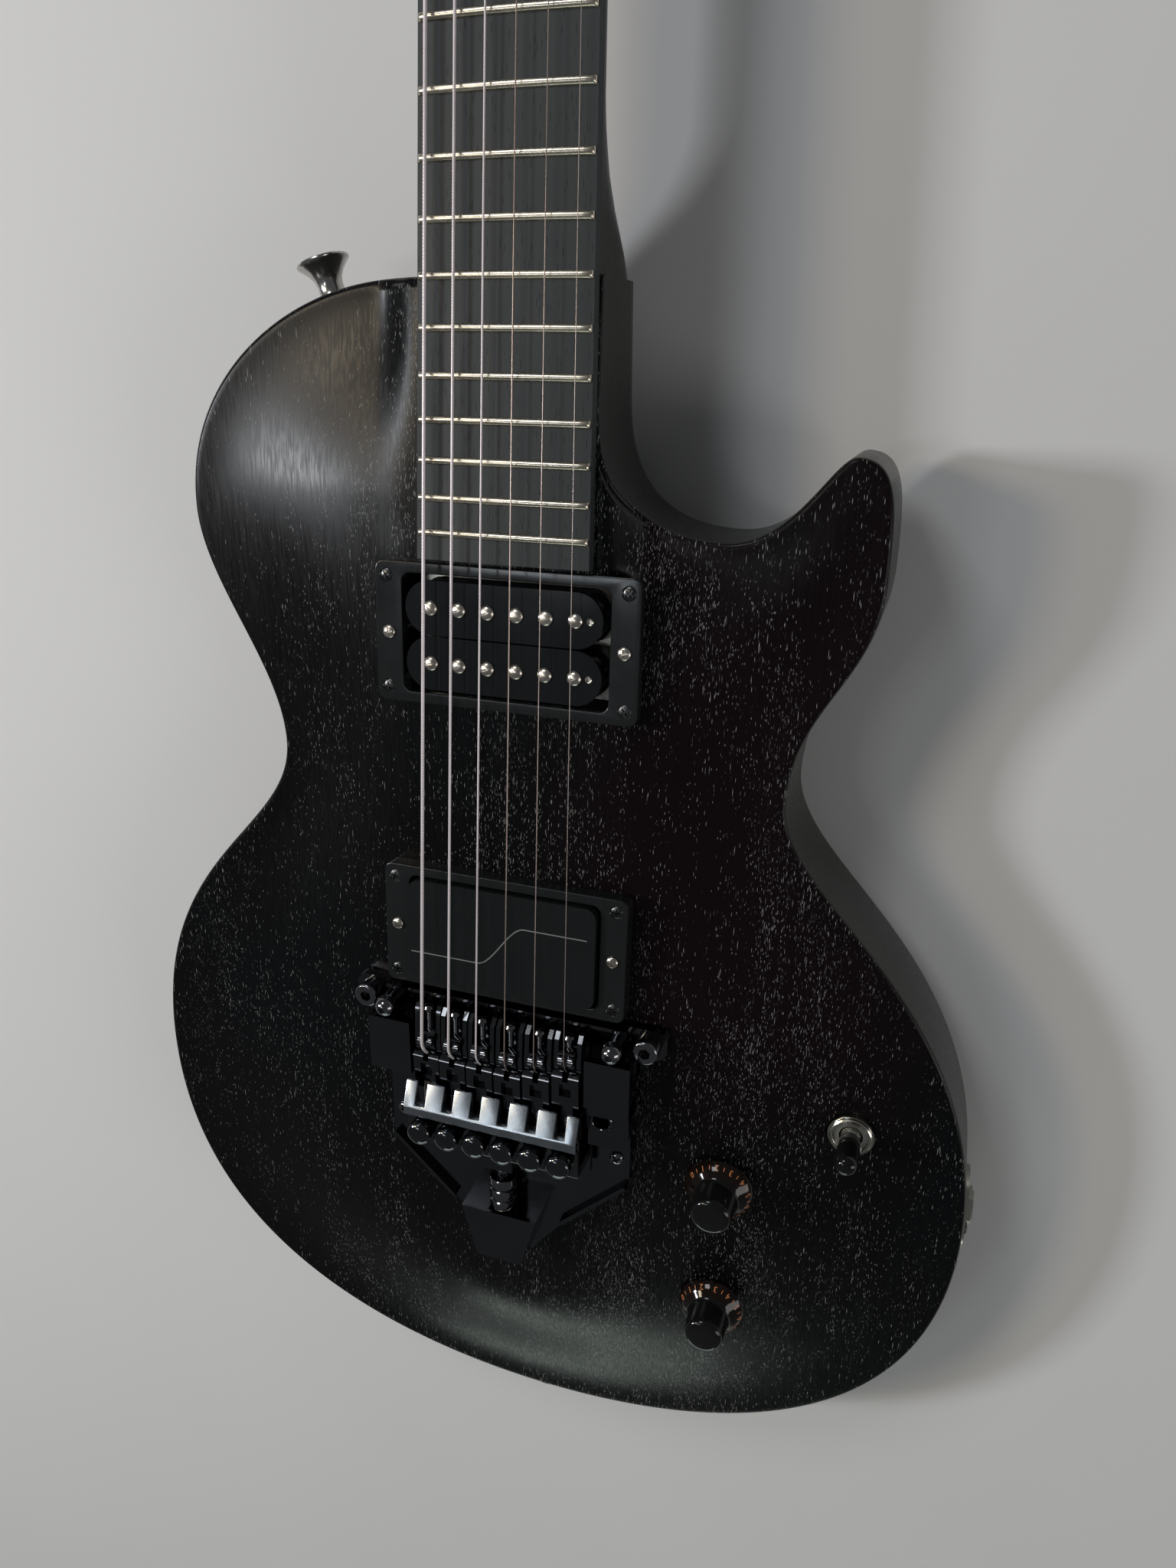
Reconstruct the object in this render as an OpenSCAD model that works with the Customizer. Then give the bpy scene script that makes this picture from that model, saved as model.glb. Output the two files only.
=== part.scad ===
// Single-cutaway carved-top electric guitar with a surface-mounted locking tremolo.
// It lies on its back: +X is the treble side, +Y runs to the headstock and +Z out of the face.
// The origin is on the centre line below the bridge, on the flat back of the body.

/* [Body] */
// Thickness of the body at its rim
rim_h = 40; // [34:0.5:50]
// Height of the carved top at its crest, over the back
crest_h = 52.5; // [46:0.5:64]
// Width across the lower bout
lower_bout_w = 330; // [275:1:396]
// Distance from the bridge line to the tail of the body
tail_len = 191; // [180:1:230]
// Distance from the bridge line to the shoulder where the neck joins
join_y = 249; // [240:1:260]
// Radius of the rounded back edge
back_round = 7; // [3:0.5:9]
// Radius of the back edge at the heel, on the cutaway side
heel_round = 18; // [7:0.5:20]
// Radius of the worn front edge
face_round = 1.6; // [0.8:0.1:2.5]

/* [Neck] */
// Scale length from the nut to the bridge line
scale_len = 628.65; // [524:0.05:755]
// Angle between the neck and the body
neck_angle = 4; // [3:0.1:5]
// Height of the fret tops over the body's crest, at the bridge line
fret_lift = 16.2; // [15.5:0.1:19]
// Number of frets
fret_count = 22; // [20:1:22]
// Width of the fretboard at the nut
nut_w = 43; // [41:0.5:48]
// Width of the fretboard at its body end
board_end_w = 57.3; // [54:0.1:62]
// Distance from the bridge line to the body end of the fretboard
board_end_y = 168; // [167:0.5:172]
// Thickness of the fretboard along its middle
board_t = 5.5; // [4.5:0.1:7]
// Radius of the fretboard's face
board_r = 350; // [240:5:500]
// Height of a fret over the board
fret_h = 1.2; // [0.8:0.1:1.5]
// Width of a fret
fret_w = 2.4; // [2:0.1:2.9]
// Depth of the neck's wood at the nut
neck_d = 14; // [12:0.5:17]
// Width of the tenon in the body
tenon_w = 40; // [36:0.5:44]
// Depth of the tenon
tenon_d = 25; // [20:0.5:28]

/* [Headstock] */
// Backward pitch of the headstock
head_pitch = 10; // [6:0.5:14]
// Thickness of the headstock
head_t = 14; // [12:0.5:16]
// Length of the headstock
head_len = 180; // [170:1:210]
// Distance from the centre line to a tuner post
tuner_x = 25; // [24:0.5:27]
// Distance between the tuner posts of one side
tuner_pitch = 37; // [30:0.5:40]
// Radius of a tuner post
post_r = 3.1; // [2.8:0.1:3.4]

/* [Strings] */
// String spacing at the bridge
bridge_pitch = 10.8; // [10.2:0.1:11]
// String spacing at the nut
nut_pitch = 7.1; // [6.8:0.1:7.4]
// String height over the fret plane at the bridge line
string_h = 2.6; // [1.8:0.1:4]

/* [Pickups] */
// Length of a pickup ring
ring_l = 90; // [88:0.5:94]
// Width of a pickup ring
ring_w = 46; // [44:0.5:50]
// Length of the opening in a ring
ring_open_l = 71; // [70.5:0.1:74]
// Width of the opening in a ring
ring_open_w = 39; // [38.4:0.1:40]
// Middle of the neck pickup, along the body
neck_pickup_y = 142.9; // [141:0.1:143.5]
// Middle of the bridge pickup, along the body
bridge_pickup_y = 37.6; // [37:0.1:39]
// Height of the bridge ring's top over the body's crest
ring_lift = 6.4; // [5:0.1:8]
// Fall of the pickup tops towards the neck
pickup_pitch = 2.8; // [2:0.1:3.4]

/* [Tremolo] */
// Thickness of the fixed frame
frame_t = 4; // [3:0.1:5]
// Distance from the centre line to a frame bolt
bolt_x = 53.5; // [52:0.1:55]
// Distance from the centre line to a pivot post
pivot_x = 43; // [42:0.1:44]
// Position of the pivot along the body
pivot_y = 7; // [6:0.1:8]
// Radius of the socket for the tremolo arm
arm_r = 3.05; // [2.5:0.05:3.4]
// Radius of a fine tuner's head
tuner_head_r = 4.6; // [4:0.1:5]

/* [Controls] */
// Volume knob, across and along the body
volume_x = 80.5; // [78:0.5:83]
volume_y = -52; // [-54:0.5:-50]
// Tone knob, across and along the body
tone_x = 80.5; // [78:0.5:83]
tone_y = -109; // [-111:0.5:-107]
// Switch, across and along the body
switch_x = 123.5; // [122:0.5:124]
switch_y = -23; // [-25:0.5:-21]
// Radius of a knob's skirt
knob_r = 12.6; // [11:0.1:14]
// Height of a knob
knob_h = 16; // [14:0.5:18]
// Radius of the hole in the output jack
jack_r = 3.25; // [3.18:0.01:3.4]

/* [Hidden] */
$fn = 48;

seat_gap = 0.05;          // two flat faces that meet
fit_gap = 0.1;            // a fixed piece in its hole or pocket
run_gap = 0.06;           // a shaft in its bore, radially
air_gap = 0.3;            // curved pieces that only nearly touch
over = 1;                 // how far a cut runs past a face

fret_plane_h = crest_h + fret_lift;
board_seat = fret_h + board_t;
nut_len = 16;
tenon_end = board_end_y + 4;
heel_top = join_y + 7;
body_pitch = 1.2;
body_pitch_y = 12;
spine = [-95, 185];
carve_from = 0.04;
carve_to = 0.66;

black_wood = [0.045, 0.043, 0.045];
black_metal = [0.06, 0.06, 0.065];
black_plastic = [0.03, 0.03, 0.03];
nickel = [0.72, 0.70, 0.66];

// ---- numbers and curves ----

function total(v) = v * [for (e = v) 1];
function smooth(u) = let (c = max(0, min(1, u))) c * c * (3 - 2 * c);
function unit(v) = v / norm(v);
function along(heading) = [cos(heading), sin(heading)];
function bezier(a, b, c, d, t) =
    pow(1 - t, 3) * a + 3 * pow(1 - t, 2) * t * b + 3 * (1 - t) * t * t * c + pow(t, 3) * d;

// Body outline, counter-clockwise from the tail. Each corner of the design holds its place,
// heading, handle before and after, pieces to the next one, where its carve line ends, and its
// share of the heel's rounding.
half_w = lower_bout_w / 2;
outline_knots = [
    [[4, -tail_len], 0, 88, 86, 10, [6, spine[0]], 0],
    [[half_w, -61], 90, 93, 97, 12, [12, -61], 0],
    [[91, 95], 90, 36, 33, 6, [22, 80], 0],
    [[115, 168], 90, 31, 20, 4, [36, 97], 0],
    [[103, 202], 180, 12, 7, 6, [37, 104], 0],
    [[66, 176], 180, 21, 20, 5, [36, 116], 0.1],
    [[28.5, 214], 90, 29, 0, 2, [14, 165], 0.8],
    [[28.5, join_y], 90, 0, 0, 1, [10, spine[1]], 1],
    [[-4, join_y], 180, 0, 0, 1, [0, spine[1]], 0],
    [[-36, join_y], 180, 0, 42, 9, [-10, spine[1]], 0],
    [[-122, 177], 270, 43, 27, 9, [-12, 155], 0],
    [[-94, 94], 270, 29, 38, 13, [-14, 88], 0],
    [[-half_w, -54], 270, 93, 97, 14, [-12, -54], 0]
];

function outline_at(k, t) =
    let (a = outline_knots[k], b = outline_knots[(k + 1) % len(outline_knots)])
    bezier(a[0], a[0] + a[3] * along(a[1]), b[0] - b[2] * along(b[1]), b[0], t);
function carve_end(k, t) =
    let (a = outline_knots[k], b = outline_knots[(k + 1) % len(outline_knots)])
    a[5] + (b[5] - a[5]) * t;
function back_share(k, t) =
    let (a = outline_knots[k], b = outline_knots[(k + 1) % len(outline_knots)])
    a[6] + (b[6] - a[6]) * t;
function walk(finer) = [for (k = [0:len(outline_knots) - 1])
    let (n = outline_knots[k][4] * finer) for (s = [0:n - 1]) [k, s / n]];

rim_walk = walk(1);
rim_n = len(rim_walk);
rim = [for (w = rim_walk) outline_at(w[0], w[1])];
rim_end = [for (w = rim_walk) carve_end(w[0], w[1])];
rim_back = [for (w = rim_walk) back_round + (heel_round - back_round) * back_share(w[0], w[1])];
rim_out = [for (i = [0:rim_n - 1])
    let (d = unit(rim[(i + 1) % rim_n] - rim[(i + rim_n - 1) % rim_n])) [d[1], -d[0]]];
// How far each point moves in under the rounded back edge. The neck's end of the body stays flat.
heel_mid = (28.5 - 36) / 2;
heel_half = (28.5 + 36) / 2;
rim_in = [for (i = [0:rim_n - 1]) rim[i][1] > join_y - 0.01
    ? [rim_back[i] * (rim[i][0] - heel_mid) / heel_half, 0] : rim_out[i] * rim_back[i]];
fine_walk = walk(3);
fine_n = len(fine_walk);
fine_rim = [for (w = fine_walk) outline_at(w[0], w[1])];
fine_step = [for (i = [0:fine_n - 1]) norm(fine_rim[(i + 1) % fine_n] - fine_rim[i])];

// Height of the carved top. The distance to the edge is a soft one, so the carve has no creases.
function edge_distance(p) =
    let (pull = [for (i = [0:fine_n - 1])
        fine_step[i] / pow(max(0.5, (fine_rim[i] - p) * (fine_rim[i] - p)), 2)])
    pow(PI / 2 / total(pull), 1 / 3);
function spine_distance(p) = norm([p[0], p[1] - max(spine[0], min(spine[1], p[1]))]);
function board_plane(y) =
    fret_plane_h - board_seat / cos(neck_angle) - y * tan(neck_angle) - seat_gap;
function ring_plane(y) = crest_h - max(0, y - body_pitch_y) * tan(body_pitch);
function crest(y) = min(ring_plane(y), board_plane(y));
function board_share(p) =
    smooth((46 - abs(p[0])) / 16) * smooth((p[1] - board_end_y + 12) / 12);
function top_z(p) =
    let (d = edge_distance(p), t = d / (d + spine_distance(p)))
    let (carved = rim_h + (crest(p[1]) - rim_h) * smooth((t - carve_from) / (carve_to - carve_from)))
    carved + (board_plane(p[1]) - carved) * board_share(p);

function lift(p, z) = [p[0], p[1], z];
rim_top = [for (p = rim) top_z(p) - (top_z(p) - rim_h) * (1 - board_share(p))];
carve_steps = [0.06, 0.14, 0.24, 0.36, 0.5, 0.66, 0.82, 1];
body_rings = concat(
    [for (a = [0, 30, 60]) [for (i = [0:rim_n - 1])
        lift(rim[i] - rim_in[i] * (1 - sin(a)), rim_back[i] * (1 - cos(a)))]],
    [[for (i = [0:rim_n - 1]) lift(rim[i], rim_back[i])]],
    [for (a = [0, 45, 90]) [for (i = [0:rim_n - 1])
        lift(rim[i] - rim_out[i] * face_round * (1 - cos(a)), rim_top[i] - face_round * (1 - sin(a)))]],
    [for (t = carve_steps) [for (i = [0:rim_n - 1])
        let (start = rim[i] - rim_out[i] * face_round, p = start + (rim_end[i] - start) * t)
        lift(p, top_z(p))]]);

// Neck frame: origin on the bridge line, y to the nut, z = 0 on the fret tops
function neck_to_body(p) = [p[0],
    p[1] * cos(neck_angle) + p[2] * sin(neck_angle),
    fret_plane_h - p[1] * sin(neck_angle) + p[2] * cos(neck_angle)];
// Headstock frame: origin behind the nut, y to the tip, z = 0 on the headstock's face
function head_to_neck(p) = [p[0],
    scale_len + nut_len + p[1] * cos(head_pitch) + p[2] * sin(head_pitch),
    -board_seat - p[1] * sin(head_pitch) + p[2] * cos(head_pitch)];
function head_to_body(p) = neck_to_body(head_to_neck(p));

function board_half(y) =
    nut_w / 2 + (board_end_w - nut_w) / 2 * (scale_len - y) / (scale_len - board_end_y);
function fret_y(i) = scale_len * pow(2, -i / 12);

module in_neck() { translate([0, 0, fret_plane_h]) rotate([-neck_angle, 0, 0]) children(); }
module in_head() {
    in_neck() translate([0, scale_len + nut_len, -board_seat]) rotate([-head_pitch, 0, 0]) children();
}
bridge_ring_z = crest_h + ring_lift;
ring_z = [bridge_ring_z - (neck_pickup_y - bridge_pickup_y) * tan(pickup_pitch), bridge_ring_z];
ring_y = [neck_pickup_y, bridge_pickup_y];
module in_ring(k) { translate([0, ring_y[k], ring_z[k]]) rotate([-pickup_pitch, 0, 0]) children(); }

// ---- shared shapes ----

module skin(rings, n, caps) {
    quads = [for (k = [0:len(rings) - 2]) for (i = [0:n - 1])
        let (j = (i + 1) % n, low = k * n, high = (k + 1) * n)
        each [[low + i, high + i, high + j], [low + i, high + j, low + j]]];
    polyhedron([for (r = rings) each r], concat(quads, caps), convexity = 8);
}

function ring_face(n, first) = [[for (i = [0:n - 1]) first + i]];
function ring_face_back(n, first) = [[for (i = [n - 1:-1:0]) first + i]];

// A round tube along a path, with its end faces square to it
module tube(path, r, sides = 8) {
    last = len(path) - 1;
    way = [for (i = [0:last]) unit(path[min(i + 1, last)] - path[max(i - 1, 0)])];
    rings = [for (i = [0:last])
        let (side = unit(cross(way[i], [0, 0, 1])), up = cross(side, way[i]))
        [for (s = [0:sides - 1]) path[i] + r * (cos(s * 360 / sides) * side + sin(s * 360 / sides) * up)]];
    skin(rings, sides, concat(ring_face(sides, 0), ring_face_back(sides, last * sides)));
}

module rounded_slab(l, w, r, low, high) {
    translate([0, 0, low]) linear_extrude(high - low) union() {
        square([l - 2 * r, w], center = true);
        square([l, w - 2 * r], center = true);
        for (x = [-1, 1], y = [-1, 1]) translate([x * (l / 2 - r), y * (w / 2 - r)]) circle(r);
    }
}

module stadium(l, w, low, high) {
    translate([0, 0, low]) linear_extrude(high - low) union() {
        square([l - w, w], center = true);
        for (x = [-1, 1]) translate([x * (l - w) / 2, 0]) circle(w / 2);
    }
}

// A screw along z with its head's underside at z = 0
module screw(r, depth, head_r, head_h) {
    rotate_extrude() polygon([[0, -depth - r], [r, -depth], [r, 0], [head_r, 0],
        [head_r, head_h * 0.45], [head_r * 0.6, head_h], [0, head_h]]);
}
module screw_hole(r, depth) {
    translate([0, 0, -depth - r - 0.5]) cylinder(r = r + fit_gap, h = depth + r + 0.5 + over);
}

// ---- places ----

string_r = [0.127, 0.165, 0.216, 0.33, 0.46, 0.585];
saddle_shift = [1.5, -1, -2.6, -2.4, -2.6, -3];
function saddle_x(i) = bridge_pitch * (2.5 - i);
function nut_x(i) = nut_pitch * (2.5 - i);
function crown(x) = -x * x / 2 / (board_r + fret_h);
function saddle_z(i) = string_h + crown(saddle_x(i));
tuner_first = 40;
function tuner_side(i) = i < 3 ? 1 : -1;
function tuner_y(i) = tuner_first + tuner_pitch * (i < 3 ? 2 - i : i - 3);
tuner_shaft_z = -head_t - 6.5;
wrap_z = 9;

ring_screw_x = 41;
ring_screw_y = 18.3;
height_screw_x = 40.2;
ring_screw_len = 12;

ceiling_z = rim_h - 6;
cover_t = 2;
cover_ledge = 6;
cover_sink = 0.3;
cavity_points = [[60, -32], [60, -128], [92, -134], [132, -106], [140, -84],
    [140, -34], [134, -6], [112, -4], [92, -30]];
cavity_middle = [102, -70];
function grown(points, by) = [for (p = points) p + by * unit(p - cavity_middle)];
cover_screw_at = [for (k = [0, 1, 3, 6]) grown(cavity_points, 3.2)[k]];

jack_y = -61;
jack_z = rim_h / 2;
jack_spot = 0.8;
jack_plate_r = 15;
jack_plate_t = 1.6;
jack_barrel_r = 6;
jack_screw_z = 11.5;

strap_at = [-72, 242];
strap_heading = 108;
strap_z = rim_h / 2;
tail_at = [4, -tail_len];
battery_size = [26, 48, 17];
battery_at = [81, jack_y - 9.8 - battery_size[1]];
strap_screw_r = 1.8;

frame_z = crest_h + seat_gap;
frame_top = frame_z + frame_t;
ear_head_h = 6.3;
pivot_z = frame_top + 3.8;
plate_low = frame_top + 2.7;
plate_t = 2.5;
plate_top = plate_low + plate_t;
plate_front = pivot_y - 2.5 - air_gap;
cover_top = plate_top + 5.8;
cover_from = 33.5;
cover_to = 50;
wing_to = cover_to - 0.8;
arm_at = [40, -22];
arm_depth = 9;
bar_half = 33.4;
comb_z = plate_top + 8.6;
bar_ridge_z = plate_top + 13.4;
fine_y = -38.4;
fine_head_z = plate_top + 15.4;
saddle_back = -24;
lock_z = plate_top + 4.2;
nose_top = frame_top + 11;
rod_r = 3;
rod_z = frame_top + 5.2;
spring_r = 4;
knob_front = -57.2;
pot_at = [[volume_x, volume_y], [tone_x, tone_y]];
switch_top = top_z([switch_x, switch_y]);
switch_nut_r = 8.6;
nut_sink = 0.7;
lever_r = 3.8;

// ---- body ----

module body_blank() {
    n = rim_n;
    last = (len(body_rings) - 1) * n;
    middle = [for (i = [0:n / 2 - 1])
        let (a = last + i, b = last + i + 1, c = last + (n - i - 1), d = last + (n - i) % n)
        each i == 0 ? [[a, c, b]] : i == n / 2 - 1 ? [[a, d, b]] : [[a, d, c], [a, c, b]]];
    skin(body_rings, n, concat(ring_face(n, 0), middle));
}

module below_ring_plane() {
    translate([0, body_pitch_y, crest_h + seat_gap]) rotate([-body_pitch, 0, 0])
        translate([-60, -60, -60]) cube([120, 300, 60]);
}

module ring_land(k) {
    difference() {
        in_ring(k) rounded_slab(ring_l + 2 * fit_gap, ring_w + 2 * fit_gap, 3, -14, 6);
        translate([0, 0, -seat_gap]) below_ring_plane();
    }
}

module pickup_cavity(k) {
    in_ring(k) {
        rounded_slab(74, 41, 4, -24, 6);
        translate([-44, -7, -24]) cube([88, 14, 24]);
    }
}

module tenon(gap) {
    in_neck() translate([0, 0, -board_seat - tenon_d - gap]) linear_extrude(tenon_d + gap)
        translate([-tenon_w / 2 - gap, tenon_end - gap]) square([tenon_w + 2 * gap, heel_top - tenon_end + gap]);
}

module at_ring_screws(k) {
    for (x = [-1, 1], y = [-1, 1]) in_ring(k) translate([x * ring_screw_x, y * ring_screw_y, 0]) children();
}
module at_cover_screws() {
    for (p = cover_screw_at) translate([p[0], p[1], cover_sink]) rotate([180, 0, 0]) children();
}
module at_jack() { translate([half_w - jack_spot, jack_y, jack_z]) rotate([0, 90, 0]) children(); }
module at_jack_screws() {
    for (s = [-1, 1]) at_jack() translate([s * jack_screw_z, 0, jack_plate_t + seat_gap]) children();
}
module at_strap() { translate([strap_at[0], strap_at[1], strap_z]) rotate([0, 90, strap_heading]) children(); }
module at_tail() { translate([tail_at[0], tail_at[1], strap_z]) rotate([90, 0, 0]) children(); }

module body() {
    color(black_wood) difference() {
        body_blank();
        tenon(fit_gap);
        in_neck() translate([-tenon_w / 2 - fit_gap, tenon_end - fit_gap, -board_seat - 1])
            cube([tenon_w + 2 * fit_gap, 90, 12]);
        for (k = [0, 1]) {
            ring_land(k);
            pickup_cavity(k);
            at_ring_screws(k) screw_hole(1.2, ring_screw_len);
        }
        translate([0, 0, -over]) linear_extrude(ceiling_z + over) polygon(cavity_points);
        translate([0, 0, -over]) linear_extrude(cover_sink + cover_t + seat_gap + over)
            polygon(grown(cavity_points, cover_ledge + fit_gap));
        for (p = pot_at) translate([p[0], p[1], ceiling_z - over]) cylinder(r = 4.8, h = 40);
        translate([switch_x, switch_y, ceiling_z - over]) cylinder(r = 6.2, h = 40);
        translate([switch_x, switch_y, switch_top - nut_sink]) cylinder(r = switch_nut_r + air_gap, h = 10);
        at_jack() {
            cylinder(r = jack_plate_r + fit_gap, h = 10);
            translate([0, 0, -half_w + jack_spot + 138]) cylinder(r = 10, h = 40);
        }
        at_jack_screws() screw_hole(1.2, 10);
        at_cover_screws() screw_hole(1.2, 9);
        at_strap() screw_hole(strap_screw_r, 24);
        at_tail() screw_hole(strap_screw_r, 24);
        for (s = [-1, 1]) translate([s * bolt_x, pivot_y - 0.5, crest_h - 22]) cylinder(r = 3 + fit_gap, h = 30);
        translate([0, 0, crest_h]) linear_extrude(12) frame_outline(0.4);
    }
}

// ---- neck ----

// Depth of the neck's wood and how square its back is, from the nut to the heel
neck_stations = [[scale_len + nut_len, neck_d, 2], [scale_len, neck_d, 2], [scale_len * 0.75, neck_d + 1.2, 2],
    [scale_len / 2, neck_d + 2.5, 2], [join_y + 56, neck_d + 3, 2], [join_y + 46, neck_d + 3.7, 2],
    [join_y + 38, neck_d + 5.7, 2.2], [join_y + 28, neck_d + 11, 2.6], [join_y + 20, neck_d + 17, 3.2],
    [join_y + 10, neck_d + 24, 4.6], [join_y + 3, neck_d + 27, 5.5], [join_y - 3, neck_d + 27.6, 6]];
neck_sides = 16;
function signed_pow(v, p) = sign(v) * pow(abs(v), p);
function neck_ring(s) = [for (k = [0:neck_sides])
    let (a = 180 - 180 * k / neck_sides, w = board_half(min(s[0], scale_len)))
    [w * signed_pow(cos(a), 2 / s[2]), s[0], -board_seat - s[1] * pow(sin(a), 2 / s[2])]];

// Half width of the headstock along its length
head_points = [[-8, nut_w / 2 + 0.3], [2, nut_w / 2 + 0.3], [20, nut_w / 2 + 5.5], [34, 36.5], [60, 38.5],
    [head_len * 0.72, 37], [head_len * 0.9, 33], [head_len * 0.97, 24], [head_len, 9]];

module head_plate() {
    translate([0, 0, -head_t]) linear_extrude(head_t) difference() {
        polygon(concat([for (p = head_points) [p[1], p[0]]],
            [for (k = [len(head_points) - 1:-1:0]) [-head_points[k][1], head_points[k][0]]]));
        for (i = [0:5]) translate([tuner_side(i) * tuner_x, tuner_y(i)]) circle(4.9 + seat_gap);
    }
}

module neck() {
    color(black_wood) difference() {
        union() {
            difference() {
                in_neck() skin([for (s = neck_stations) neck_ring(s)], neck_sides + 1,
                    concat(ring_face(neck_sides + 1, 0),
                        ring_face_back(neck_sides + 1, (len(neck_stations) - 1) * (neck_sides + 1))));
                translate([-60, join_y - 40, -20]) cube([120, 40 + seat_gap, 90]);
            }
            tenon(0);
            intersection() {
                in_head() head_plate();
                in_neck() translate([-60, scale_len, -board_seat - 100]) cube([120, 300, 100]);
            }
        }
        in_neck() translate([-3.2, tenon_end + 20, -board_seat - 10]) cube([6.4, scale_len - tenon_end - 24, 12]);
        in_neck() at_clamps() translate([0, 0, -board_seat - 10]) cylinder(r = 2 + fit_gap, h = 14);
        in_head() for (s = [-1, 1]) translate([s * 22, retainer_y, -9]) cylinder(r = 1.5 + seat_gap, h = 12);
    }
}

module fretboard() {
    color([0.05, 0.05, 0.055]) in_neck() intersection() {
        translate([0, 0, -board_seat]) linear_extrude(board_seat) polygon([
            [-board_half(board_end_y), board_end_y], [board_half(board_end_y), board_end_y],
            [board_half(scale_len), scale_len], [-board_half(scale_len), scale_len]]);
        translate([0, board_end_y - over, -fret_h - board_r]) rotate([-90, 0, 0])
            cylinder(r = board_r, h = scale_len, $fn = 240);
    }
}

module frets() {
    color(nickel) in_neck() for (i = [1:fret_count]) intersection() {
        translate([-board_half(fret_y(i)) + 0.5, fret_y(i) - fret_w / 2, -board_seat])
            cube([2 * board_half(fret_y(i)) - 1, fret_w, board_seat + over]);
        translate([0, fret_y(i) - fret_w, -fret_h - board_r]) rotate([-90, 0, 0]) difference() {
            cylinder(r = board_r + fret_h, h = 2 * fret_w, $fn = 240);
            translate([0, 0, -over]) cylinder(r = board_r + seat_gap / 2, h = 2 * fret_w + 2 * over, $fn = 240);
        }
    }
}

module truss_rod() {
    color([0.5, 0.5, 0.5]) in_neck() translate([0, tenon_end + 21, -board_seat - 6.5]) rotate([-90, 0, 0])
        cylinder(r = 3, h = scale_len - tenon_end - 30);
}

// ---- nut and headstock hardware ----

nut_top = 0.2;
clamp_low = 1.65;
clamp_t = 4.5;
retainer_y = 16;
retainer_string_z = 5;
retainer_r = 2.5;
module at_clamps() { for (x = [-2, 0, 2]) translate([x * nut_pitch, scale_len + nut_len / 2, 0]) children(); }

module locking_nut() {
    color(black_metal) in_neck() difference() {
        translate([-nut_w / 2, scale_len + seat_gap, -board_seat + seat_gap])
            cube([nut_w, nut_len - seat_gap, board_seat + nut_top - seat_gap]);
        at_clamps() translate([0, 0, -board_seat - over]) cylinder(r = 2 + fit_gap, h = 12);
    }
}

module nut_clamps() {
    color(black_metal) in_neck() at_clamps() {
        difference() {
            translate([0, 0, clamp_low]) linear_extrude(clamp_t) square([12, 13], center = true);
            translate([0, 0, -1]) cylinder(r = 2 + fit_gap, h = 12);
        }
        translate([0, 0, clamp_low + clamp_t + seat_gap]) difference() {
            screw(2, clamp_low + clamp_t + 10, 3.5, 3);
            translate([0, 0, 1.2]) cylinder(r = 1.5, h = 4, $fn = 6);
        }
    }
}

module string_retainer() {
    color(black_metal) in_head() {
        bar_z = retainer_string_z + string_r[5] + 0.2 + retainer_r;
        difference() {
            translate([-25, retainer_y, bar_z]) rotate([0, 90, 0]) cylinder(r = retainer_r, h = 50);
            for (s = [-1, 1]) translate([s * 22, retainer_y, 0]) cylinder(r = 1.5 + seat_gap, h = 20);
        }
        for (s = [-1, 1]) translate([s * 22, retainer_y, bar_z + retainer_r + seat_gap])
            screw(1.5, bar_z + retainer_r + 6, 2.6, 1.6);
    }
}

module at_tuner(i) { in_head() translate([tuner_side(i) * tuner_x, tuner_y(i), 0]) children(); }

module tuner_housings() {
    color(black_metal) for (i = [0:5]) at_tuner(i) difference() {
        translate([-8.5, -9.5, -head_t - seat_gap - 13]) cube([17, 19, 13]);
        translate([0, 0, -head_t - 5]) cylinder(r = post_r + run_gap, h = 8);
        translate([tuner_side(i) * 9.5, 0, tuner_shaft_z]) rotate([0, -90 * tuner_side(i), 0])
            cylinder(r = 2 + run_gap, h = 5);
    }
}

module tuner_bushings() {
    color(nickel) for (i = [0:5]) at_tuner(i) difference() {
        union() {
            translate([0, 0, -9]) cylinder(r = 4.9, h = 10);
            translate([0, 0, seat_gap]) cylinder(r = 7, h = 2.2);
        }
        translate([0, 0, -10]) cylinder(r = post_r + run_gap, h = 20);
    }
}

module tuner_post(i) {
    color(nickel) at_tuner(i) rotate_extrude() polygon([[0, -head_t - 4.6], [post_r, -head_t - 4.6],
        [post_r, 6.6], [post_r - 0.6, 7.6], [post_r - 0.6, 10.4], [post_r, 11.4], [post_r, 15.6],
        [post_r - 0.8, 16.4], [0, 16.4]]);
}

module tuner_button(i) {
    s = tuner_side(i);
    color(nickel) at_tuner(i) translate([0, 0, tuner_shaft_z]) rotate([0, 90 * s, 0]) {
        translate([0, 0, 5]) cylinder(r = 2, h = 16);
        translate([0, 0, 15]) cylinder(r1 = 3.2, r2 = 4.2, h = 4);
        intersection() {
            translate([0, 0, 27]) rotate([90, 0, 90]) stadium(20, 17, -4, 4);
            translate([0, 0, 27]) sphere(r = 10.4);
        }
    }
}

// ---- strings ----

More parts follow.
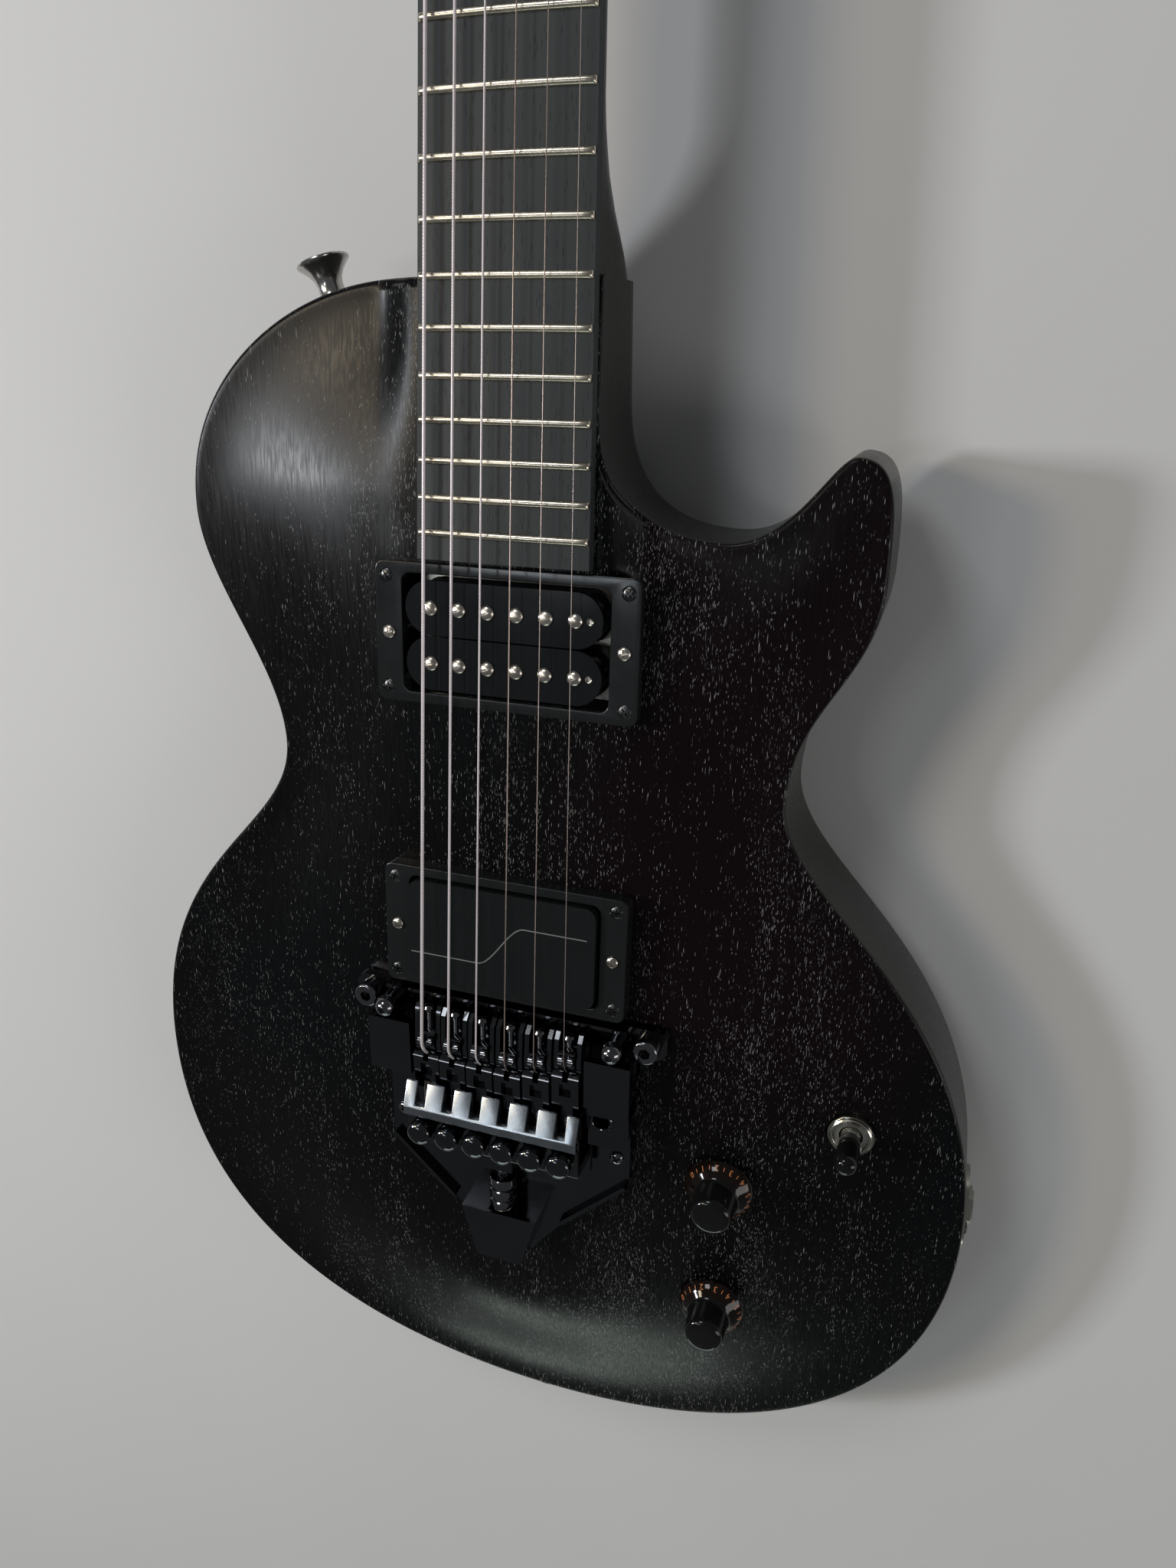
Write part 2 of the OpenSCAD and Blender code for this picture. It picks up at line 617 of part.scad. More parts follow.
function string_path(i) =
    let (s = tuner_side(i), r = string_r[i], reach = post_r + air_gap + r)
    let (post_side = [s * tuner_x - s * reach, tuner_y(i), wrap_z])
    let (on_head = [nut_x(i) * 1.04, retainer_y, retainer_string_z])
    [neck_to_body([saddle_x(i), saddle_shift[i] - 6.2, saddle_z(i) - 4.2]),
     neck_to_body([saddle_x(i), saddle_shift[i] - 3.2, saddle_z(i) - 1.5]),
     neck_to_body([saddle_x(i), saddle_shift[i] - 1, saddle_z(i) - 0.2]),
     neck_to_body([saddle_x(i), saddle_shift[i] + 1.5, saddle_z(i)]),
     neck_to_body([nut_x(i), scale_len, 0.95]),
     neck_to_body([nut_x(i), scale_len + nut_len, 0.85]),
     head_to_body(on_head),
     head_to_body(post_side),
     head_to_body(post_side + [0, 3, 0])];

module string(i) { color([0.75, 0.72, 0.68]) tube(string_path(i), string_r[i]); }

// ---- pickups ----

module pickup_ring(k) {
    color(black_plastic) difference() {
        in_ring(k) difference() {
            rounded_slab(ring_l, ring_w, 3, -14, 0);
            rounded_slab(ring_open_l, ring_open_w, 3, -20, 5);
            for (x = [-1, 1], y = [-1, 1])
                translate([x * ring_screw_x, y * ring_screw_y, -20]) cylinder(r = 1.25, h = 30);
            for (x = [-1, 1]) translate([x * height_screw_x, 0, -20]) cylinder(r = 1.35, h = 30);
        }
        below_ring_plane();
    }
}

coil_l = 67;
coil_w = 17.5;
coil_gap = 18;
coil_low = -11;
coil_top = 1.4;
pole_pitch = 9.84;
base_t = 1.2;

module at_poles() {
    for (c = [-1, 1], i = [0:5]) in_ring(0) translate([(i - 2.5) * pole_pitch, c * coil_gap / 2, coil_top]) children();
}

module neck_pickup_bobbins() {
    color(black_plastic) difference() {
        in_ring(0) for (c = [-1, 1]) translate([0, c * coil_gap / 2, 0]) {
            stadium(coil_l, coil_w, coil_top - 1.4, coil_top);
            stadium(coil_l - 2.5, coil_w - 2.5, coil_low, coil_top - 1);
        }
        at_poles() translate([0, 0, -20]) cylinder(r = 1.6, h = 30);
    }
}

module neck_pickup_poles() {
    color(nickel) difference() {
        at_poles() translate([0, 0, seat_gap]) rotate_extrude()
            polygon([[0, -16], [1.5, -16], [1.5, 0], [2.45, 0], [2.3, 0.6], [1.5, 1.15], [0, 1.3]]);
        at_poles() translate([-3, -0.3, 0.75]) cube([6, 0.6, 2]);
    }
}

module pickup_baseplates() {
    color([0.5, 0.5, 0.48]) {
        difference() {
            baseplate(0);
            at_poles() translate([0, 0, -20]) cylinder(r = 1.6, h = 30);
        }
        baseplate(1);
    }
}

module baseplate(k) {
    in_ring(k) difference() {
        translate([0, 0, coil_low - base_t - seat_gap]) linear_extrude(base_t) union() {
            square([68, 36], center = true);
            square([2 * height_screw_x + 5, 9], center = true);
        }
        for (x = [-1, 1]) translate([x * height_screw_x, 0, -20]) cylinder(r = 1.3, h = 30);
    }
}

cover_l = 69.4;
cover_w = 37.8;
bridge_cover_z = 2.2;
groove = 0.7;

module groove_cut(from, to) {
    way = to - from;
    translate([from[0], from[1], bridge_cover_z - 0.35]) rotate([0, 0, atan2(way[1], way[0])])
        translate([-groove / 2, -groove / 2, 0]) cube([norm(way) + groove, groove, 2]);
}

module bridge_pickup_cover() {
    color(black_plastic) in_ring(1) difference() {
        rounded_slab(cover_l, cover_w, 4, coil_low, bridge_cover_z);
        groove_cut([-cover_l / 2 + 1, -8.8], [-6.5, -8.8]);
        groove_cut([-6.5, -8.8], [7, 7.2]);
        groove_cut([7, 7.2], [cover_l / 2 - 3, 7.2]);
    }
}

module wood_screws() {
    color([0.08, 0.08, 0.08]) {
        for (k = [0, 1]) at_ring_screws(k) translate([0, 0, seat_gap]) screw(1.2, ring_screw_len, 2.3, 1.1);
        at_cover_screws() translate([0, 0, seat_gap]) screw(1.2, 8, 1.7, 0.2);
        at_jack_screws() screw(1.2, 9, 2.2, 1);
    }
}

module height_screws() {
    color(nickel) for (k = [0, 1], x = [-1, 1]) in_ring(k)
        translate([x * height_screw_x, 0, seat_gap]) screw(1.25, 14, 2.1, 1);
}

// ---- tremolo ----

// Left and right halves of the frame meet on the centre line
frame_half = [[0, 12], [56, 12], [60, 9], [60, 4], [56, 0], [50, -6], [48, -14], [48, -55], [23, -81],
    [9.5, -98], [0, -98]];
nose_half = [[0, -75], [15, -75], [9, -97], [0, -97]];
function both(points) = concat(points, [for (k = [len(points) - 1:-1:0]) [-points[k][0], points[k][1]]]);

module frame_outline(gap) {
    polygon(both([for (p = frame_half) [p[0] + (p[0] > 0 ? gap : 0), p[1] + gap * (p[1] > 0 ? 1 : -1)]]));
}

module tremolo_frame() {
    color(black_metal) difference() {
        union() {
            translate([0, 0, frame_z]) linear_extrude(frame_t) frame_outline(0);
            translate([-46, 10.6, frame_top - over]) cube([92, 1.4, over + 3.6]);
            translate([0, 0, frame_top - over]) linear_extrude(nose_top - frame_top + over) polygon(both(nose_half));
        }
        for (s = [-1, 1]) {
            translate([s * bolt_x, pivot_y - 0.5, 0]) cylinder(r = 3 + fit_gap, h = 100);
            translate([s * pivot_x, pivot_y, frame_z + 1]) cylinder(r = 2.5 + seat_gap, h = 20);
            translate([s * 43, -45, frame_z + 1]) cylinder(r = 1.6 + seat_gap, h = 20);
        }
        translate([-spring_r - 0.5, -94, frame_top]) cube([2 * spring_r + 1, 30, 9.7]);
        translate([-6.5, -74, frame_top - 1.4]) cube([13, 18, 4]);
        translate([0, -90, rod_z]) rotate([90, 0, 0]) cylinder(r = rod_r + run_gap, h = 20);
    }
}

module tremolo_bolts() {
    color(black_metal) for (s = [-1, 1]) {
        translate([s * bolt_x, pivot_y - 0.5, frame_top + seat_gap]) difference() {
            screw(3, frame_t + 18, 4.6, ear_head_h);
            translate([0, 0, ear_head_h - 2.6]) cylinder(r = 1.9, h = 5, $fn = 6);
        }
        translate([s * pivot_x, pivot_y, 0]) rotate_extrude() polygon(concat(
            [[0, frame_z + 1.05], [2.5, frame_z + 1.05], [2.5, cover_top - 4]],
            [for (a = [-50:20:70]) [3.9 * cos(a), cover_top - 1 + 3.9 * sin(a)]], [[0, cover_top + 2.9]]));
        translate([s * 43, -45, frame_top + seat_gap]) screw(1.6, frame_t - 1.8 - 1.6, 2.6, 1.6);
    }
}

bar_profile = [[-19.5, comb_z], [-19.5, comb_z + 1], [-28.5, bar_ridge_z], [-31.8, bar_ridge_z],
    [-33, comb_z + 2.4], [-45, comb_z + 1.6], [-46, plate_top - 1], [-41.5, plate_top - 1], [-41.5, comb_z]];

module tremolo_plate() {
    color(black_metal) difference() {
        union() {
            translate([-cover_from - 1, -50, plate_low]) cube([2 * cover_from + 2, 50 + plate_front, plate_t]);
            for (s = [-1, 1]) {
                translate([s > 0 ? cover_from : -wing_to, -20, plate_low])
                    cube([wing_to - cover_from, 20 + plate_front, plate_t]);
                translate([s > 0 ? cover_from : -cover_to, -20, plate_low])
                    cube([cover_to - cover_from, 22.2, cover_top - plate_low]);
            }
            translate([0, 0, plate_low]) linear_extrude(cover_top - 0.8 - plate_low) polygon([
                [cover_from, -14], [cover_to, -14], [cover_to, -28], [cover_to - 4, -33],
                [cover_from + 1.6, -33], [cover_from + 1.6, -26], [cover_from, -26]]);
            rotate([90, 0, 90]) translate([0, 0, -bar_half]) linear_extrude(2 * bar_half) polygon(bar_profile);
            translate([-5, -56.4, plate_low]) cube([10, 12, 6]);
        }
        for (i = [0:5]) {
            translate([saddle_x(i) - 2, -27.5, plate_top + 0.6]) cube([4, 12, 20]);
            translate([saddle_x(i), fine_y, plate_top + 1]) cylinder(r = 2 + run_gap, h = 20);
        }
        translate([arm_at[0], arm_at[1], cover_top - 0.8 - arm_depth]) cylinder(r = arm_r, h = arm_depth + over);
    }
}

module saddle(i) {
    crest_z = fret_plane_h + saddle_z(i) - string_r[i] - air_gap - 0.15;
    base = plate_top + seat_gap;
    back = saddle_back - saddle_shift[i];
    translate([saddle_x(i), saddle_shift[i], 0]) difference() {
        rotate([90, 0, 90]) translate([0, 0, -5.1]) linear_extrude(10.2) polygon([
            [back, base], [back, crest_z - 1.4], [-11, crest_z - 0.6], [-6.8, crest_z - 0.2], [-5.4, crest_z - 0.4],
            [-2.4, crest_z - 0.1], [-0.6, crest_z], [0.6, crest_z - 0.2], [2, crest_z - 2.2], [3, base + 2], [3, base]]);
        translate([-1.1, -8, crest_z - 6.2]) cube([2.2, 7, 8]);
        for (s = [-1, 1]) translate([s * 5.1 - 1.3, -5.2, crest_z - 3]) cube([2.6, 12, 8]);
        translate([0, back - over, lock_z]) rotate([-90, 0, 0]) cylinder(r = 2.25, h = 5);
    }
}

module saddles() { color(black_metal) for (i = [0:5]) saddle(i); }

module string_lock_screws() {
    color([0.45, 0.42, 0.38]) for (i = [0:5]) translate([saddle_x(i), saddle_back + 3, lock_z]) rotate([90, 0, 0])
        difference() {
            union() {
                cylinder(r = 2.2, h = 14);
                translate([0, 0, 14]) cylinder(r = 2.5, h = 5);
            }
            translate([0, 0, 16.5]) cylinder(r = 1.3, h = 4, $fn = 6);
        }
}

module fine_tuner(i) {
    color([0.16, 0.15, 0.14]) translate([saddle_x(i), fine_y, 0]) rotate_extrude() polygon([
        [0, lock_z + 2.5 + air_gap], [2, lock_z + 2.5 + air_gap], [2, comb_z + 3.2],
        [tuner_head_r - 0.4, comb_z + 3.2], [tuner_head_r, comb_z + 3.6], [tuner_head_r, fine_head_z - 0.7], [tuner_head_r - 0.9, fine_head_z + 0.2],
        [tuner_head_r - 2.6, fine_head_z + 0.8], [0, fine_head_z + 1]]);
}

module tension_knob() {
    color(black_metal) translate([0, 0, rod_z]) rotate([90, 0, 0]) rotate_extrude() polygon([
        [0, -knob_front], [2.6, -knob_front], [2.6, -knob_front + 3], [5.2, -knob_front + 3.4],
        [5.2, -knob_front + 6.4], [4.4, -knob_front + 6.8], [4.4, -knob_front + 8], [5.2, -knob_front + 8.4],
        [5.2, -knob_front + 11.4], [4.4, -knob_front + 11.8], [4.4, -knob_front + 13], [5.2, -knob_front + 13.4],
        [5.2, -knob_front + 16.2], [rod_r, -knob_front + 16.6], [rod_r, 96], [0, 96]]);
}

module tension_spring() {
    color(nickel) translate([0, -74.4, rod_z]) rotate([90, 0, 0]) difference() {
        cylinder(r = spring_r, h = 19.2);
        translate([0, 0, -over]) cylinder(r = rod_r + air_gap, h = 30);
    }
}

// ---- controls ----

knob_gap = 0.6;
function knob_z(p) = max([for (a = [0:30:330]) top_z(p + knob_r * along(a))]) + knob_gap;
cap_r = 7.6;
shaft_r = 3;

module knob(p) {
    z = knob_z(p);
    color(black_plastic) translate([p[0], p[1], z]) rotate_extrude() polygon([
        [shaft_r + 0.02, 0], [knob_r - 0.4, 0], [knob_r, 0.5], [knob_r - 0.4, 1.4], [knob_r - 2.6, 3.8],
        [cap_r + 0.6, 5], [cap_r, 6], [cap_r - 0.4, knob_h - 1.4], [cap_r - 1.4, knob_h - 0.3],
        [cap_r - 2.6, knob_h], [0, knob_h], [0, knob_h - 3], [shaft_r + 0.02, knob_h - 3]]);
    color(nickel) translate([p[0], p[1], ceiling_z - 5]) cylinder(r = shaft_r, h = z - ceiling_z + knob_h + 1.9);
}

module potentiometers() {
    color([0.55, 0.54, 0.5]) for (p = pot_at) translate([p[0], p[1], 0]) difference() {
        union() {
            translate([0, 0, ceiling_z - 9 - seat_gap]) cylinder(r = 12, h = 9);
            translate([0, 0, ceiling_z - 1]) cylinder(r = 4.7, h = top_z(p) - ceiling_z + 1.6);
        }
        translate([0, 0, ceiling_z - 6]) cylinder(r = shaft_r + run_gap, h = 60);
    }
}

module switch_body() {
    color([0.55, 0.54, 0.5]) translate([switch_x, switch_y, 0]) difference() {
        union() {
            translate([-9, -15, ceiling_z - 20 - seat_gap]) cube([18, 30, 20]);
            translate([0, 0, ceiling_z - 1]) cylinder(r = 6, h = switch_top - ceiling_z + 2.6);
        }
        translate([0, 0, ceiling_z - 8]) cylinder(r = lever_r + air_gap, h = 60);
        translate([-4.4, -7, ceiling_z - 8]) cube([8.8, 14, 7]);
    }
}

module switch_nut() {
    color(nickel) translate([switch_x, switch_y, switch_top - nut_sink + seat_gap]) difference() {
        union() {
            cylinder(r = switch_nut_r, h = 2);
            translate([0, 0, 1.5]) cylinder(r1 = 7.4, r2 = 6.9, h = 1.8);
        }
        translate([0, 0, -over]) cylinder(r = 6 + seat_gap, h = 10);
    }
}

module switch_lever() {
    color([0.1, 0.1, 0.1]) translate([switch_x, switch_y, switch_top]) rotate_extrude() polygon(concat(
        [[0, -12], [1.4, -12], [1.6, -3.3]],
        [for (a = [-60:15:45]) [lever_r * cos(a), lever_r * sin(a)]],
        [[2.4, 3.6], [3.4, 4], [4, 12], [3.9, 16.4], [3, 18.4], [1.4, 19.4], [0, 19.6]]));
}

module output_jack() {
    color([0.6, 0.58, 0.52]) at_jack() difference() {
        union() {
            translate([0, 0, -22]) cylinder(r = 9, h = 21.4);
            translate([0, 0, -1]) cylinder(r = jack_barrel_r, h = jack_plate_t + 3.4);
        }
        translate([0, 0, -20]) cylinder(r = jack_r, h = 40);
    }
}

module jack_plate() {
    color(nickel) at_jack() translate([0, 0, seat_gap]) difference() {
        cylinder(r = jack_plate_r, h = jack_plate_t);
        translate([0, 0, -over]) cylinder(r = jack_barrel_r + fit_gap, h = 10);
        for (s = [-1, 1]) translate([s * jack_screw_z, 0, -over]) cylinder(r = 1.3, h = 10);
    }
}

module strap_button() {
    difference() {
        rotate_extrude() polygon([[0, 0], [6, 0], [5.6, 1.4], [4.3, 3.4], [4.2, 6], [5.6, 9.5], [8.6, 12.6], [8.8, 13.4],
            [8.2, 14], [0, 14]]);
        translate([0, 0, -over]) cylinder(r = strap_screw_r + seat_gap, h = 20);
        translate([0, 0, 12]) cylinder(r = 3.6, h = 4);
    }
    translate([0, 0, 12 + seat_gap]) screw(strap_screw_r, 32, 3.4, 1.6);
}

module strap_buttons() {
    color(nickel) {
        at_strap() translate([0, 0, 0.6]) strap_button();
        at_tail() translate([0, 0, 0.3]) strap_button();
    }
}

module cavity_cover() {
    color(black_plastic) translate([0, 0, cover_sink]) difference() {
        linear_extrude(cover_t) polygon(grown(cavity_points, cover_ledge));
        for (p = cover_screw_at) translate([p[0], p[1], -over]) cylinder(r = 1.3, h = 10);
    }
}

module battery() {
    color([0.2, 0.2, 0.22]) translate([battery_at[0], battery_at[1], cover_sink + cover_t + seat_gap])
        cube(battery_size);
}

// ---- nodes ----

body();
neck();
fretboard();
frets();
truss_rod();
locking_nut();
nut_clamps();
string_retainer();
tuner_housings();
tuner_bushings();
for (i = [0:5]) {
    tuner_button(i);
    tuner_post(i);
    string(i);
    fine_tuner(i);
}
pickup_ring(0);  // neck_pickup_ring
neck_pickup_bobbins();
neck_pickup_poles();
pickup_baseplates();
pickup_ring(1);  // bridge_pickup_ring
bridge_pickup_cover();
wood_screws();
height_screws();
tremolo_frame();
tremolo_bolts();
tremolo_plate();
saddles();
string_lock_screws();
tension_knob();
tension_spring();
knob(pot_at[0]);  // volume_knob
knob(pot_at[1]);  // tone_knob
potentiometers();
switch_body();
switch_nut();
switch_lever();
output_jack();
jack_plate();
strap_buttons();
cavity_cover();
battery();
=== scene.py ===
"""A satin black carved-top electric guitar with a surface-mounted locking tremolo.

Everything is in the CAD model's frame: +X is the treble side, +Y runs to the headstock and +Z
out of the face, with the origin below the bridge line on the flat back. Sizes are written in
millimetres and turned into metres where a mesh is made.
"""

import math

import bmesh
import bpy
import numpy as np
from mathutils import Matrix, Vector


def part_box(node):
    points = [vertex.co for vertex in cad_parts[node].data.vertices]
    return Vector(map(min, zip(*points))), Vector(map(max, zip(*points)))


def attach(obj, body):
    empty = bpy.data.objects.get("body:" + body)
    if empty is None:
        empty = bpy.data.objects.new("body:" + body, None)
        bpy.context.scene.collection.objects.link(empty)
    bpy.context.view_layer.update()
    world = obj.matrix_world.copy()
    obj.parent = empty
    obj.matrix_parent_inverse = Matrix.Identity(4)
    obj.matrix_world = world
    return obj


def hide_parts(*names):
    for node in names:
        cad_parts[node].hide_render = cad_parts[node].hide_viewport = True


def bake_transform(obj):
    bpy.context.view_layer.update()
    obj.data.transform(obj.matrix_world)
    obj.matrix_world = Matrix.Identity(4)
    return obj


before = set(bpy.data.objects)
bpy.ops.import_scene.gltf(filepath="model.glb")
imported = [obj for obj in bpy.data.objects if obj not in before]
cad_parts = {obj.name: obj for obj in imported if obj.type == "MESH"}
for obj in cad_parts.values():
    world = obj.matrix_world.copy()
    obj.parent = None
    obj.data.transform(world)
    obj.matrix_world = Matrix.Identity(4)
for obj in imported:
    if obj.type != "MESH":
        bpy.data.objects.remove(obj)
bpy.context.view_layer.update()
MM = 0.001
SEED = 7

# ---- dimensions, in millimetres
RIM_H = 40.0
CREST_H = 52.5
HALF_W = 165.0
TAIL_LEN = 191.0
JOIN_Y = 249.0
BACK_ROUND, HEEL_ROUND = 7.0, 18.0
FACE_ROUND = 1.6

SCALE_LEN = 628.65
NUT_LEN = 16.0
NECK_ANGLE = 4.0
FRET_PLANE_H = 68.7
FRET_COUNT = 22
NUT_W = 43.0
BOARD_END_W = 57.3
BOARD_END_Y = 168.0
BOARD_T = 5.5
BOARD_R = 350.0
FRET_H = 1.2
NECK_D = 14.0
BOARD_SEAT = FRET_H + BOARD_T

HEAD_PITCH = 10.0
HEAD_T = 14.0
HEAD_LEN = 180.0
TUNER_X = 25.0
TUNER_FIRST = 40.0
TUNER_PITCH = 37.0

BRIDGE_PITCH = 10.8
NUT_PITCH = 7.1
STRING_H = 2.6
STRING_R = [0.127, 0.165, 0.216, 0.33, 0.46, 0.585]
SADDLE_SHIFT = [1.5, -1, -2.6, -2.4, -2.6, -3]

RING_Y = [142.9, 37.6]
PICKUP_PITCH = 2.8
BRIDGE_RING_Z = 58.9
RING_Z = [BRIDGE_RING_Z - (RING_Y[0] - RING_Y[1]) * math.tan(math.radians(PICKUP_PITCH)), BRIDGE_RING_Z]
RING_L, RING_W = 90.0, 46.0
RING_OPEN_L, RING_OPEN_W = 71.0, 39.0

FRAME_Z = CREST_H + 0.05
FRAME_TOP = FRAME_Z + 4
PIVOT_X, PIVOT_Y = 43.0, 7.0
PLATE_LOW = FRAME_TOP + 2.7
PLATE_TOP = PLATE_LOW + 2.5
COVER_TOP = PLATE_TOP + 5.8
BOLT_X = 53.5
ROD_Z = FRAME_TOP + 5.2
FINE_Y = -38.4

KNOBS = [(80.5, -52.0), (80.5, -109.0)]
KNOB_R, KNOB_H = 12.6, 16.0
SWITCH = (123.5, -23.0)
JACK = (HALF_W - 0.8, -61.0, 20.0)


# ---- frames and curves
def turn(degrees, axis):
    return Matrix.Rotation(math.radians(degrees), 4, axis)


def move(x, y, z):
    return Matrix.Translation((x, y, z))


IN_NECK = move(0, 0, FRET_PLANE_H) @ turn(-NECK_ANGLE, "X")
IN_HEAD = IN_NECK @ move(0, SCALE_LEN + NUT_LEN, -BOARD_SEAT) @ turn(-HEAD_PITCH, "X")
IN_RING = [move(0, RING_Y[k], RING_Z[k]) @ turn(-PICKUP_PITCH, "X") for k in (0, 1)]
AT_JACK = move(*JACK) @ turn(90, "Y")
ALONG_X = Matrix(((0, 0, 1, 0), (1, 0, 0, 0), (0, 1, 0, 0), (0, 0, 0, 1)))


def smoothstep(u):
    u = np.clip(u, 0, 1)
    return u * u * (3 - 2 * u)


def unit(v):
    return v / np.linalg.norm(v, axis=-1, keepdims=True)


# Body outline, counter-clockwise from the tail. Each corner holds its place, heading, handle
# before and after, share of the points to the next one, where its carve line ends, and its share
# of the heel's rounding.
SPINE = (-95.0, 185.0)
HEEL_RIGHT, HEEL_LEFT = 28.5, 36.0
OUTLINE = [
    ((4, -TAIL_LEN), 0, 88, 86, 10, (6, SPINE[0]), 0),
    ((HALF_W, -61), 90, 93, 97, 12, (12, -61), 0),
    ((91, 95), 90, 36, 33, 6, (22, 80), 0),
    ((115, 168), 90, 31, 20, 4, (36, 97), 0),
    ((103, 202), 180, 12, 7, 6, (37, 104), 0),
    ((66, 176), 180, 21, 20, 5, (36, 116), 0.1),
    ((HEEL_RIGHT, 214), 90, 29, 0, 2, (14, 165), 0.8),
    ((HEEL_RIGHT, JOIN_Y), 90, 0, 0, 1, (10, SPINE[1]), 1),
    ((-4, JOIN_Y), 180, 0, 0, 1, (0, SPINE[1]), 0),
    ((-HEEL_LEFT, JOIN_Y), 180, 0, 42, 9, (-10, SPINE[1]), 0),
    ((-122, 177), 270, 43, 27, 9, (-12, 155), 0),
    ((-94, 94), 270, 29, 38, 13, (-14, 88), 0),
    ((-HALF_W, -54), 270, 93, 97, 14, (-12, -54), 0),
]
CARVE_FROM, CARVE_TO = 0.04, 0.66
BODY_PITCH, BODY_PITCH_Y = 1.2, 12.0
FLAT_HALF, FLAT_FADE, FLAT_FADE_Y = 46.0, 16.0, 12.0


def heading(degrees):
    return np.array([math.cos(math.radians(degrees)), math.sin(math.radians(degrees))])


def walk_outline(finer):
    """Points round the outline, the matching ends of the carve lines and the back edge's radius."""
    points, ends, backs = [], [], []
    for k, a in enumerate(OUTLINE):
        b = OUTLINE[(k + 1) % len(OUTLINE)]
        p0, p3 = np.array(a[0], float), np.array(b[0], float)
        p1, p2 = p0 + a[3] * heading(a[1]), p3 - b[2] * heading(b[1])
        count = a[4] * finer
        for s in range(count):
            t = s / count
            r = 1 - t
            points.append(r**3 * p0 + 3 * r**2 * t * p1 + 3 * r * t * t * p2 + t**3 * p3)
            ends.append(np.array(a[5], float) * r + np.array(b[5], float) * t)
            backs.append(BACK_ROUND + (HEEL_ROUND - BACK_ROUND) * (a[6] * r + b[6] * t))
    return np.array(points), np.array(ends), np.array(backs)


FIELD_RIM = walk_outline(3)[0]
FIELD_STEP = np.linalg.norm(np.roll(FIELD_RIM, -1, axis=0) - FIELD_RIM, axis=1)


def edge_distance(p):
    """A soft distance to the outline, so that the carve has no creases."""
    gap = ((FIELD_RIM[None] - p[:, None]) ** 2).sum(-1)
    return (math.pi / 2 / (FIELD_STEP / np.maximum(0.5, gap) ** 2).sum(1)) ** (1 / 3)


def board_plane(y):
    a = math.radians(NECK_ANGLE)
    return FRET_PLANE_H - BOARD_SEAT / math.cos(a) - y * math.tan(a) - 0.05


def crest(y):
    pitched = CREST_H - np.maximum(0, y - BODY_PITCH_Y) * math.tan(math.radians(BODY_PITCH))
    return np.minimum(pitched, board_plane(y))


def board_share(p):
    """1 on the flat under the fretboard's end, fading to 0 on the carve around it."""
    across = smoothstep((FLAT_HALF - np.abs(p[:, 0])) / FLAT_FADE)
    return across * smoothstep((p[:, 1] - BOARD_END_Y + FLAT_FADE_Y) / FLAT_FADE_Y)


def top_z(p):
    """Height of the carved top over the flat back."""
    p = np.atleast_2d(np.array(p, float))
    d = edge_distance(p)
    spine = np.hypot(p[:, 0], p[:, 1] - np.clip(p[:, 1], *SPINE))
    t = d / (d + spine)
    carved = RIM_H + (crest(p[:, 1]) - RIM_H) * smoothstep((t - CARVE_FROM) / (CARVE_TO - CARVE_FROM))
    return carved + (board_plane(p[:, 1]) - carved) * board_share(p)


def board_half(y):
    return NUT_W / 2 + (BOARD_END_W - NUT_W) / 2 * (SCALE_LEN - y) / (SCALE_LEN - BOARD_END_Y)


def fret_y(i):
    return SCALE_LEN * 2 ** (-i / 12)


def saddle_x(i):
    return BRIDGE_PITCH * (2.5 - i)


def nut_x(i):
    return NUT_PITCH * (2.5 - i)


def crown(x):
    return -x * x / 2 / (BOARD_R + FRET_H)


def saddle_z(i):
    return STRING_H + crown(saddle_x(i))


# ---- mesh tools
def new_object(name, mesh):
    obj = bpy.data.objects.new(name, mesh)
    bpy.context.scene.collection.objects.link(obj)
    return obj


def evaluated_mesh(obj):
    bpy.context.view_layer.update()
    return bpy.data.meshes.new_from_object(obj.evaluated_get(bpy.context.evaluated_depsgraph_get()))


def from_bmesh(name, bm, matrix=None):
    """An object from a bmesh drawn in millimetres."""
    if matrix is not None:
        bm.transform(matrix)
    bm.transform(Matrix.Scale(MM, 4))
    bmesh.ops.recalc_face_normals(bm, faces=bm.faces)
    mesh = bpy.data.meshes.new(name)
    bm.to_mesh(mesh)
    bm.free()
    return new_object(name, mesh)


def shade(obj, degrees=35):
    """Smooth shading, with edges sharper than this angle kept crisp."""
    mesh = obj.data
    mesh.polygons.foreach_set("use_smooth", [True] * len(mesh.polygons))
    mesh.set_sharp_from_angle(angle=math.radians(degrees))
    return obj


def bevel_sharp(bm, width, segments=2, degrees=35):
    """Bevels the edges that are sharper than this angle."""
    limit = math.radians(degrees)
    edges = [e for e in bm.edges if len(e.link_faces) == 2 and e.calc_face_angle(0) > limit]
    bmesh.ops.bevel(bm, geom=edges, offset=width, segments=segments, profile=0.6,
                    affect="EDGES", clamp_overlap=True)
    return bm


def rings_to_bmesh(rings, closed=True, cap_first=False, cap_last=False):
    """Skins rings of points, each a list of (x, y, z)."""
    bm = bmesh.new()
    rows = [[bm.verts.new(p) for p in ring] for ring in rings]
    n = len(rows[0])
    for low, high in zip(rows, rows[1:]):
        for i in range(n if closed else n - 1):
            j = (i + 1) % n
            bm.faces.new((low[i], low[j], high[j], high[i]))
    if cap_first:
        bm.faces.new(rows[0][::-1])
    if cap_last:
        bm.faces.new(rows[-1])
    return bm


